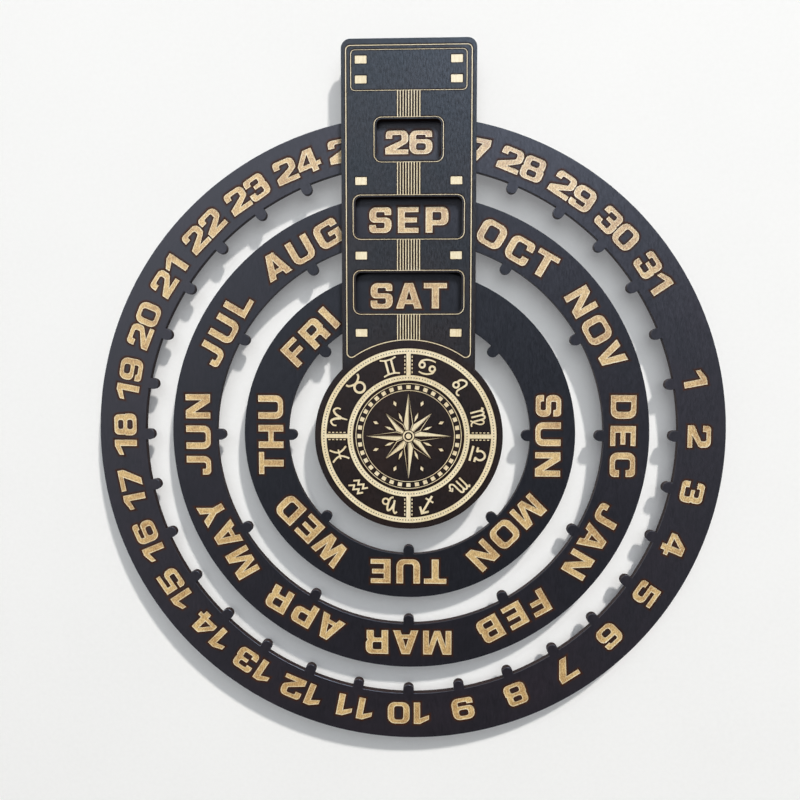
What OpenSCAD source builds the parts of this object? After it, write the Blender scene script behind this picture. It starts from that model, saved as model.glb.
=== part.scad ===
// Perpetual wall calendar: three labelled plywood rings turn between the front and back plates
// of a tower, each carried by its knobs on a crowned saddle under the window that shows its label.
// Front faces -Y, up is +Z, and the origin is the round end of the hanging keyhole at the back face.

/* [Sheet] */
// Thickness of the plywood that plates and rings are cut from
ply_t = 4; // [3:0.5:6]
// Free space between a ring and each plate
ring_play = 0.4; // [0.2:0.1:1]

/* [Rings] */
// Outer radius of the date ring
date_ring_r = 175; // [165:1:200]
// Radial width of the date ring
date_ring_w = 26; // [22:0.5:32]
// Radial width of the month ring
month_ring_w = 25; // [22:0.5:30]
// Radial width of the weekday ring
weekday_ring_w = 24.7; // [22:0.1:30]
// Radial gap from ring to ring, and from the weekday ring to the disc
ring_gap = 15.75; // [14:0.25:18]
// Places on the date ring, the days and one blank
date_places = 32; // [24:1:40]
// Places on the month ring
month_places = 12; // [8:1:16]
// Places on the weekday ring, the days and one blank
weekday_places = 8; // [6:1:12]

/* [Knobs] */
// Width of a knob, which is also the diameter of its round tip
knob_w = 6; // [4:0.5:8]
// How far a knob stands in from the ring's inner edge
knob_h = 5; // [4:0.5:6]

/* [Saddles] */
// Running gap between the knob tips and the crown of a saddle
seat_gap = 0.3; // [0.2:0.1:0.6]
// Room above a ring, in which it rises as a knob leaves its notch
lift_gap = 1.5; // [1:0.5:3]
// Depth of the notch that a knob drops into
notch_depth = 1; // [0.5:0.1:1.5]

/* [Tower] */
// Width of the tower
tower_w = 73; // [68:1:80]
// Height of the tower's top edge above the date ring
tower_rise = 39; // [36:0.5:50]
// Radius of the tower's top corners
tower_corner_r = 5; // [2:0.5:8]
// How far the back plate stays inside the front plate's outline
back_inset = 1.5; // [0.5:0.5:3]
// How far spacers and saddles stay inside the front plate's outline
spacer_inset = 3; // [2:0.5:5]

/* [Windows] */
// Width of the date window
date_window_w = 35; // [30:1:45]
// Width of the month and weekday windows
word_window_w = 58; // [50:1:62]
// Height of the windows
window_h = 21.4; // [18:0.2:23]
// Corner radius of the windows
window_corner_r = 2.8; // [1:0.2:5]
// How far a window's middle lies below the middle of its ring
window_drop = 1; // [0:0.1:1.5]

/* [Hanging keyhole] */
// Radius of the round end that passes over the head of the wall screw
keyhole_r = 4.5; // [4:0.25:5.5]
// Radius of the slot that holds the shank of the wall screw
keyhole_slot_r = 2.2; // [1.5:0.1:3]
// Length of the slot between the two centres
keyhole_slot_l = 10; // [8:0.5:12]
// Depth of the round end's centre below the top of the tower
keyhole_below_top = 24; // [22:0.5:26]
// Free space round the screw head in the pocket of the top spacer
pocket_play = 1; // [0.5:0.5:2]

/* [Screws] */
// Radius of a screw's shank
screw_r = 1.5; // [1.25:0.05:1.75]
// Radius of a screw's countersunk head
screw_head_r = 2.9; // [2.5:0.1:3.2]
// Depth that a screw bites into the front plate
screw_bite = 2.8; // [2:0.1:2.9]
// Length of a screw's pointed tip
screw_tip_l = 1.6; // [1:0.1:1.8]
// Free space round a screw in its hole
screw_play = 0.05; // [0.03:0.01:0.1]
// Distance of the saddle screws from the middle of the tower
saddle_screw_x = 22; // [17:0.5:25]
// Distance of the top screws from the edges of the top spacer
top_screw_edge = 7; // [6:0.5:8]
// Distance of the disc screws from the rim of the disc
disc_screw_rim = 22; // [19:0.5:26]
// Number of disc screws
disc_screws_n = 3; // [3:1:5]

/* [Bumpers] */
// Radius of a bumper where it sticks to the back plate
bumper_r = 5.5; // [4:0.5:6]
// Radius of a bumper where it meets the wall
bumper_tip_r = 4.5; // [3:0.5:5]
// Height of a bumper
bumper_h = 5; // [3:0.5:8]
// Distance of the top bumpers from the middle of the tower
top_bumper_x = 24; // [22:0.5:26]
// Distance of the disc bumpers from the rim of the disc
disc_bumper_rim = 12; // [10:0.5:14]
// Angle of the disc bumpers below the horizontal
disc_bumper_angle = 45; // [40:1:55]

/* [Hidden] */
$fn = 96;

black_ply = "#2b2c31";
bare_ply = "#c9a97a";
zinc = "#b9bcc0";
rubber = "#3a3a3c";

// Past a face, so that a cut opens it
over = 1;
// Part of a knob's stub that lies inside the ring
knob_root = 2;

spacer_t = ply_t + 2 * ring_play;
ring_back_y = -(ply_t + ring_play);
front_back_y = -(ply_t + spacer_t);

date_inner_r = date_ring_r - date_ring_w;
month_ring_r = date_inner_r - ring_gap;
month_inner_r = month_ring_r - month_ring_w;
weekday_ring_r = month_inner_r - ring_gap;
weekday_inner_r = weekday_ring_r - weekday_ring_w;
disc_r = weekday_inner_r - ring_gap;
disc_bumper_ring_r = disc_r - disc_bumper_rim;
tower_top = date_ring_r + tower_rise;
axis_z = keyhole_below_top - tower_top;

crown_depth = knob_h + seat_gap;
arch_depth = ring_gap - lift_gap;
top_arch_r = date_ring_r + lift_gap;
spacer_w = tower_w - 2 * spacer_inset;

screw_head_h = screw_head_r - screw_r;
screw_l = ply_t + spacer_t + screw_bite;
notch_r = knob_w / 2 + seat_gap;
top_spacer_foot = sqrt(pow(top_arch_r, 2) - pow(spacer_w / 2, 2));
top_spacer_head = tower_top - spacer_inset;
top_bumper_height = (top_spacer_foot + top_spacer_head) / 2;

top_screw_places = [
    for (x = [-1, 1] * (spacer_w / 2 - top_screw_edge))
        for (height = [top_spacer_foot + top_screw_edge, top_spacer_head - top_screw_edge]) [x, height]
];
date_screw_places = saddle_screw_places(date_inner_r);
month_screw_places = saddle_screw_places(month_inner_r);
weekday_screw_places = saddle_screw_places(weekday_inner_r);
disc_screw_places = [
    for (i = [0 : disc_screws_n - 1]) polar(disc_r - disc_screw_rim, 90 + i * 360 / disc_screws_n)
];
all_screw_places = concat(
    top_screw_places, date_screw_places, month_screw_places, weekday_screw_places, disc_screw_places
);

// Point at a radius and an angle round the axis of the rings
function polar(radius, angle) = [radius * cos(angle), radius * sin(angle)];

// Two screws on the middle line of the saddle inside a ring
function saddle_screw_places(inner_r) =
    let (middle_r = inner_r - (crown_depth + arch_depth) / 2)
    [for (x = [-1, 1] * saddle_screw_x) [x, sqrt(pow(middle_r, 2) - pow(x, 2))]];

// Drawing round the axis of the rings, made a sheet whose back face is at back_y
module sheet(back_y, thickness) {
    translate([0, back_y, axis_z])
        rotate([90, 0, 0])
            linear_extrude(thickness) children();
}

// Rectangle on its middle point with round corners
module rounded_rectangle(width, height, radius) {
    square([width - 2 * radius, height], center = true);
    square([width, height - 2 * radius], center = true);
    for (x = [-1, 1] * (width / 2 - radius))
        for (y = [-1, 1] * (height / 2 - radius))
            translate([x, y]) circle(radius);
}

// Outline of tower and disc, drawn in by an inset
module tower_outline(inset) {
    half_w = tower_w / 2 - inset;
    top = tower_top - inset;
    radius = tower_corner_r;
    translate([-half_w, 0]) square([2 * half_w, top - radius]);
    translate([radius - half_w, 0]) square([2 * (half_w - radius), top]);
    for (x = [-1, 1] * (half_w - radius))
        translate([x, top - radius]) circle(radius);
    circle(disc_r - inset);
}

// Part of the tower between two radii, as wide as a spacer
module tower_band(inner_r, outer_r) {
    intersection() {
        difference() {
            circle(outer_r);
            circle(inner_r);
        }
        translate([-spacer_w / 2, 0]) square([spacer_w, outer_r + over]);
    }
}

// Window over a ring's labels
module window(width, ring_r, ring_w) {
    translate([0, ring_r - ring_w / 2 - window_drop])
        rounded_rectangle(width, window_h, window_corner_r);
}

// Slot with round ends, upwards from the keyhole's centre
module upright_slot(radius, length) {
    circle(radius);
    translate([-radius, 0]) square([2 * radius, length]);
    translate([0, length]) circle(radius);
}

// Knob on the +X side of a ring, with its round tip towards the axis
module knob(inner_r) {
    tip_centre = inner_r - knob_h + knob_w / 2;
    translate([tip_centre, 0]) circle(knob_w / 2);
    translate([tip_centre, -knob_w / 2]) square([inner_r + knob_root - tip_centre, knob_w]);
}

// Ring with one knob under each place, the first at the top
module label_ring(outer_r, width, places) {
    sheet(ring_back_y, ply_t) {
        difference() {
            circle(outer_r);
            circle(outer_r - width);
        }
        for (i = [0 : places - 1])
            rotate(90 + i * 360 / places) knob(outer_r - width);
    }
}

// Countersunk screw from the back face towards the front, or its hole with some play
module screw(place, play) {
    translate([place[0], 0, axis_z + place[1]])
        rotate([90, 0, 0]) {
            cylinder(h = screw_head_h, r1 = screw_head_r + play, r2 = screw_r + play);
            cylinder(h = screw_l - screw_tip_l, r = screw_r + play);
            translate([0, 0, screw_l - screw_tip_l])
                cylinder(h = screw_tip_l, r1 = screw_r + play, r2 = play);
        }
}

module screws(places) {
    color(zinc)
        for (place = places) screw(place, 0);
}

module screw_holes(places) {
    for (place = places) screw(place, screw_play);
}

// Band that carries a ring: the crown follows the knob tips, with a notch under each knob at rest,
// and the arch leaves room over the next ring
module saddle(inner_r, places) {
    crown_r = inner_r - crown_depth;
    pitch = 360 / places;
    reach = floor(asin(spacer_w / 2 / crown_r) / pitch);
    color(bare_ply)
        difference() {
            sheet(-ply_t, spacer_t)
                difference() {
                    tower_band(inner_r - arch_depth, crown_r);
                    for (i = [-reach : reach])
                        translate(polar(crown_r - notch_depth + notch_r, 90 + i * pitch)) circle(notch_r);
                }
            screw_holes(saddle_screw_places(inner_r));
        }
}

// Soft foot between the back plate and the wall
module bumper(place) {
    color(rubber)
        translate([place[0], 0, axis_z + place[1]])
            rotate([-90, 0, 0])
                cylinder(h = bumper_h, r1 = bumper_r, r2 = bumper_tip_r);
}

module front_plate() {
    color(black_ply)
        difference() {
            sheet(front_back_y, ply_t)
                difference() {
                    tower_outline(0);
                    window(date_window_w, date_ring_r, date_ring_w);
                    window(word_window_w, month_ring_r, month_ring_w);
                    window(word_window_w, weekday_ring_r, weekday_ring_w);
                }
            screw_holes(all_screw_places);
        }
}

module back_plate() {
    color(black_ply)
        difference() {
            sheet(0, ply_t)
                difference() {
                    tower_outline(back_inset);
                    translate([0, -axis_z]) {
                        circle(keyhole_r);
                        upright_slot(keyhole_slot_r, keyhole_slot_l);
                    }
                }
            screw_holes(all_screw_places);
        }
}

// Spacer over the date ring, with a pocket for the head of the wall screw
module top_spacer() {
    color(bare_ply)
        difference() {
            sheet(-ply_t, spacer_t)
                difference() {
                    translate([-spacer_w / 2, 0]) square([spacer_w, top_spacer_head]);
                    circle(top_arch_r);
                    translate([0, -axis_z]) upright_slot(keyhole_r + pocket_play, keyhole_slot_l);
                }
            screw_holes(top_screw_places);
        }
}

module date_saddle() {
    saddle(date_inner_r, date_places);
}

module month_saddle() {
    saddle(month_inner_r, month_places);
}

module weekday_saddle() {
    saddle(weekday_inner_r, weekday_places);
}

// Spacer between the plates behind the disc
module disc_spacer() {
    color(bare_ply)
        difference() {
            sheet(-ply_t, spacer_t) circle(disc_r - spacer_inset);
            screw_holes(disc_screw_places);
        }
}

module date_ring() {
    color(black_ply) label_ring(date_ring_r, date_ring_w, date_places);
}

module month_ring() {
    color(black_ply) label_ring(month_ring_r, month_ring_w, month_places);
}

module weekday_ring() {
    color(black_ply) label_ring(weekday_ring_r, weekday_ring_w, weekday_places);
}

module top_screws() {
    screws(top_screw_places);
}

module date_saddle_screws() {
    screws(date_screw_places);
}

module month_saddle_screws() {
    screws(month_screw_places);
}

module weekday_saddle_screws() {
    screws(weekday_screw_places);
}

module disc_screws() {
    screws(disc_screw_places);
}

module top_left_bumper() {
    bumper([-top_bumper_x, top_bumper_height]);
}

module top_right_bumper() {
    bumper([top_bumper_x, top_bumper_height]);
}

module disc_left_bumper() {
    bumper(polar(disc_bumper_ring_r, 180 + disc_bumper_angle));
}

module disc_right_bumper() {
    bumper(polar(disc_bumper_ring_r, -disc_bumper_angle));
}

front_plate();
back_plate();
top_spacer();
date_saddle();
month_saddle();
weekday_saddle();
disc_spacer();
date_ring();
month_ring();
weekday_ring();
top_screws();
date_saddle_screws();
month_saddle_screws();
weekday_saddle_screws();
disc_screws();
top_left_bumper();
top_right_bumper();
disc_left_bumper();
disc_right_bumper();
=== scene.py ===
"""Looks of a perpetual wall calendar: three engraved plywood rings behind the windows of a tower.

Drawings are in millimetres round the axis of the rings, x to the right and h upwards as seen from
the front. They become meshes in metres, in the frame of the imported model.
"""

from __future__ import annotations

import logging
import math
from collections.abc import Callable, Sequence
from dataclasses import dataclass, field, replace
from enum import Enum
from typing import NamedTuple

import bpy
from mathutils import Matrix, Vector
from mathutils.geometry import delaunay_2d_cdt
from mathutils.kdtree import KDTree

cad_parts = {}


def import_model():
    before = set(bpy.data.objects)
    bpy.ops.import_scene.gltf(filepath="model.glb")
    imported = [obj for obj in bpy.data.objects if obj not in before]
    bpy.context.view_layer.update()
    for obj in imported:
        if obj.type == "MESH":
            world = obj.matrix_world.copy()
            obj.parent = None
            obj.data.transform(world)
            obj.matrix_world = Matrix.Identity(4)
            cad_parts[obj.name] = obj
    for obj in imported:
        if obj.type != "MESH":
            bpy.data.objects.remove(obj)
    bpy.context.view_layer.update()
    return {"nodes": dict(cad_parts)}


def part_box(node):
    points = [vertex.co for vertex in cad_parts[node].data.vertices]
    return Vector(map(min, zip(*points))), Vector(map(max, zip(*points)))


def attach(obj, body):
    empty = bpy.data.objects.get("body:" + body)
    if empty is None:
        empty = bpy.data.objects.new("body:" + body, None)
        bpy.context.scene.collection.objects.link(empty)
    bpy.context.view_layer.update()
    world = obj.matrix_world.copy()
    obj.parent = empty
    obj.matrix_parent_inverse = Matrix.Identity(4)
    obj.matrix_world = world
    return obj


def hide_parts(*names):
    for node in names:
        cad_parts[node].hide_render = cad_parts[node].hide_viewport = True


LOG = logging.getLogger("wall_calendar")
MM = 0.001

Point = tuple[float, float]
Loop = list[Point]
Corner = tuple[float, ...]
Place = tuple[float, float, float]
Colour = tuple[float, float, float, float]
Socket = bpy.types.NodeSocket


@dataclass(frozen=True)
class Layout:
    """Sizes in millimetres that several pieces share: those of the CAD model, then those of the engraving."""

    axis_z: float = -190.0
    ply: float = 4.0
    ring_back_y: float = -4.4
    front_back_y: float = -8.8
    wall_y: float = 5.0
    tower_w: float = 73.0
    tower_top: float = 214.0
    tower_corner_r: float = 5.0
    disc_r: float = 52.05
    chamfer: float = 0.12
    label_depth: float = 0.25
    stroke_trim: float = 0.1
    plate_depth: float = 0.16


LAYOUT = Layout()
SHORE = "nearness_to_engraving_wall"
WALL_STEP = 0.15  # between two points that stand for an engraving's wall
SAME_PLACE = 1e-3  # within this, two points count as one
STROKE_CORNER = 0.5  # least cosine of half a corner's turn, so that sharp corners do not shoot out
OUTLINE_CORNER = 0.35
SHEET_CREASE = math.radians(25)  # a sharper turn shows as an edge
FOOT_CREASE = math.radians(50)
ORIGIN: Point = (0.0, 0.0)
WHITE: Colour = (1.0, 1.0, 1.0, 1.0)


def srgb(red: int, green: int, blue: int) -> Colour:
    """Gives a colour written in 0 to 255 as the linear colour that a shader takes.

    Args:
        red: red share, 0 to 255.
        green: green share, 0 to 255.
        blue: blue share, 0 to 255.

    Returns:
        The linear colour with full alpha.
    """
    shares = [c / 255 for c in (red, green, blue)]
    linear = [c / 12.92 if c <= 0.04045 else ((c + 0.055) / 1.055) ** 2.4 for c in shares]
    return linear[0], linear[1], linear[2], 1.0


def clock(radius: float, angle: float) -> Point:
    """Gives the point at a radius and an angle in degrees, clockwise from the top."""
    turn = math.radians(angle)
    return radius * math.sin(turn), radius * math.cos(turn)


def arc(centre: Point, radius: float, start: float, end: float, steps: int) -> Loop:
    """Draws an arc with both of its ends, whose angles are in degrees anticlockwise from the x axis."""
    turns = [math.radians(start + (end - start) * i / steps) for i in range(steps + 1)]
    return [(centre[0] + radius * math.cos(t), centre[1] + radius * math.sin(t)) for t in turns]


def circle(radius: float, steps: int, centre: Point = ORIGIN) -> Loop:
    """Draws a closed circle of so many steps round a centre."""
    return arc(centre, radius, 0, 360, steps)[:-1]


def rounded(corners: Sequence[Corner], steps: int = 5) -> Loop:
    """Draws a polygon whose corners are rounded, each by its own radius.

    Args:
        corners: x and y of each corner, and the radius where it is round.
        steps: straight steps in each round corner.

    Returns:
        The points of the outline.
    """
    loop: Loop = []
    for i, corner in enumerate(corners):
        here = Vector(corner[:2])
        if len(corner) < 3:
            loop.append((here.x, here.y))
            continue
        back = Vector(corners[i - 1][:2]) - here
        onward = Vector(corners[(i + 1) % len(corners)][:2]) - here
        half = back.angle(onward) / 2
        reach = min(corner[2] / math.tan(half), 0.5 * back.length, 0.5 * onward.length)
        radius = reach * math.tan(half)
        inward = (back.normalized() + onward.normalized()).normalized()
        middle = here + inward * (radius / math.sin(half))
        first = here + back.normalized() * reach - middle
        last = here + onward.normalized() * reach - middle
        start = math.degrees(math.atan2(first.y, first.x))
        sweep = -math.degrees(first.angle_signed(last))
        loop += arc((middle.x, middle.y), radius, start, start + sweep, steps)
    return loop


def rectangle(width: float, height: float, radius: float, centre: Point) -> Loop:
    """Draws a rectangle with round corners on its middle point.

    Args:
        width: size along x.
        height: size along h.
        radius: corner radius.
        centre: middle point.

    Returns:
        The points of the outline.
    """
    x, y = centre
    signs = ((-1, -1), (1, -1), (1, 1), (-1, 1))
    return rounded([(x + sx * width / 2, y + sy * height / 2, radius) for sx, sy in signs])


def spline(points: Sequence[Point], steps: int = 5) -> Loop:
    """Draws a smooth open line through some points.

    Args:
        points: the points that the line goes through.
        steps: straight steps between two points.

    Returns:
        The points along the line.
    """
    ends = [points[0], *points, points[-1]]
    line: Loop = []
    for i in range(1, len(ends) - 2):
        a, b, c, d = (Vector(p) for p in ends[i - 1 : i + 3])
        for k in range(steps):
            t = k / steps
            p = b + (c - a) * (t / 2) + (a * 2 - b * 5 + c * 4 - d) * (t * t / 2)
            p += (b * 3 - a - c * 3 + d) * (t * t * t / 2)
            line.append((p.x, p.y))
    return [*line, points[-1]]


def ribbon(line: Sequence[Point], width: float, end_width: float | None = None) -> Loop:
    """Gives an open line a width, which may change evenly from its start to its end.

    Args:
        line: the points of the line.
        width: width at the start.
        end_width: width at the end, where it differs.

    Returns:
        The outline of the ribbon.
    """
    end_width = width if end_width is None else end_width
    points = [Vector(p) for p in line]
    last = len(points) - 1
    left: Loop = []
    right: Loop = []
    for i, p in enumerate(points):
        before = (p - points[max(i - 1, 0)]).normalized()
        after = (points[min(i + 1, last)] - p).normalized()
        along = (before + after).normalized()
        mitre = 1 / max(STROKE_CORNER, along.dot(after if i < last else before))
        share = i / last
        half = mitre * ((1 - share) * width + share * end_width) / 2
        left.append((p.x - along.y * half, p.y + along.x * half))
        right.append((p.x + along.y * half, p.y - along.x * half))
    return right + left[::-1]


def anticlockwise(loop: Loop) -> Loop:
    """Gives a closed loop in anticlockwise order."""
    area = sum(x0 * y1 - x1 * y0 for (x0, y0), (x1, y1) in zip(loop, loop[1:] + loop[:1]))
    return loop if area > 0 else loop[::-1]


def offset(loop: Loop, distance: float) -> Loop:
    """Moves a closed outline outwards, or inwards by a negative distance.

    Args:
        loop: the outline.
        distance: how far each side moves.

    Returns:
        The moved outline, anticlockwise and with as many points.
    """
    points = [Vector(p) for p in anticlockwise(loop)]
    moved: Loop = []
    for i, p in enumerate(points):
        before = (p - points[i - 1]).normalized()
        after = (points[(i + 1) % len(points)] - p).normalized()
        along = (before + after).normalized()
        reach = distance / max(OUTLINE_CORNER, along.dot(after))
        moved.append((p.x + along.y * reach, p.y - along.x * reach))
    return moved


@dataclass(frozen=True)
class Figure:
    """One engraved figure: the loops that are cut, and the islands inside them that stay."""

    cuts: tuple[Loop, ...]
    keeps: tuple[Loop, ...] = ()

    def placed(self, place: Callable[[Point], Point]) -> Figure:
        """Gives the figure with every point moved by a rule."""
        moved = ([[place(p) for p in loop] for loop in loops] for loops in (self.cuts, self.keeps))
        return Figure(*(tuple(loops) for loops in moved))

    def thinned(self, distance: float) -> Figure:
        """Gives the figure with a little taken off each side of its strokes."""
        cuts = tuple(offset(loop, -distance) for loop in self.cuts)
        return Figure(cuts, tuple(offset(loop, distance) for loop in self.keeps))


def line_figure(loop: Loop, width: float) -> Figure:
    """Draws an engraved line of some width along a closed outline."""
    return Figure((offset(loop, width / 2),), (offset(loop, -width / 2),))


def upright(middle: Point, angle: float, size: Point = (1.0, 1.0)) -> Callable[[Point], Point]:
    """Makes the rule that puts a drawing on a dial with its top outwards.

    Args:
        middle: where the drawing's origin goes on the dial.
        angle: clockwise angle of the drawing from the top, in degrees.
        size: scale of the drawing across and upwards.

    Returns:
        A function from a point of the drawing to a point of the dial.
    """
    turn = math.radians(angle)
    cos, sin = math.cos(turn), math.sin(turn)

    def place(point: Point) -> Point:
        """Turns, scales and moves one point."""
        u, v = point[0] * size[0], point[1] * size[1]
        return middle[0] + u * cos + v * sin, middle[1] - u * sin + v * cos

    return place


def box(x0: float, y0: float, x1: float, y1: float, left_r: float, right_r: float) -> tuple[Corner, ...]:
    """Gives the corners of a box, with one radius on its left side and one on its right."""
    return (x0, y0, left_r), (x1, y0, right_r), (x1, y1, right_r), (x0, y1, left_r)


class Letter(NamedTuple):
    """A bold square-shouldered letter of height 1: its width, outline, counters and side room."""

    width: float
    outline: tuple[Corner, ...]
    counters: tuple[tuple[Corner, ...], ...] = ()
    side: float = 0.12

    def figure(self) -> Figure:
        """Draws the letter from its left side on the base line."""
        return Figure((rounded(self.outline),), tuple(rounded(c, 4) for c in self.counters))


ROUND_SIDE = 0.09
SLANT_SIDE = 0.03
DIGIT_SIDE = 0.016
ONE_SIDE = 0.06
SIX = ((0, 0, 0.3), (1, 0, 0.3), (1, 0.64, 0.24), (0.3, 0.64), (0.3, 0.79, 0.06), (0.69, 0.79, 0.05),
       (0.69, 0.7), (0.99, 0.7), (0.99, 1, 0.28), (0, 1, 0.3))
SIX_COUNTER = box(0.3, 0.195, 0.7, 0.445, 0.09, 0.09)
NINE, NINE_COUNTER = (tuple((1 - x, 1 - y, *r) for x, y, *r in part) for part in (SIX, SIX_COUNTER))

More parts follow.
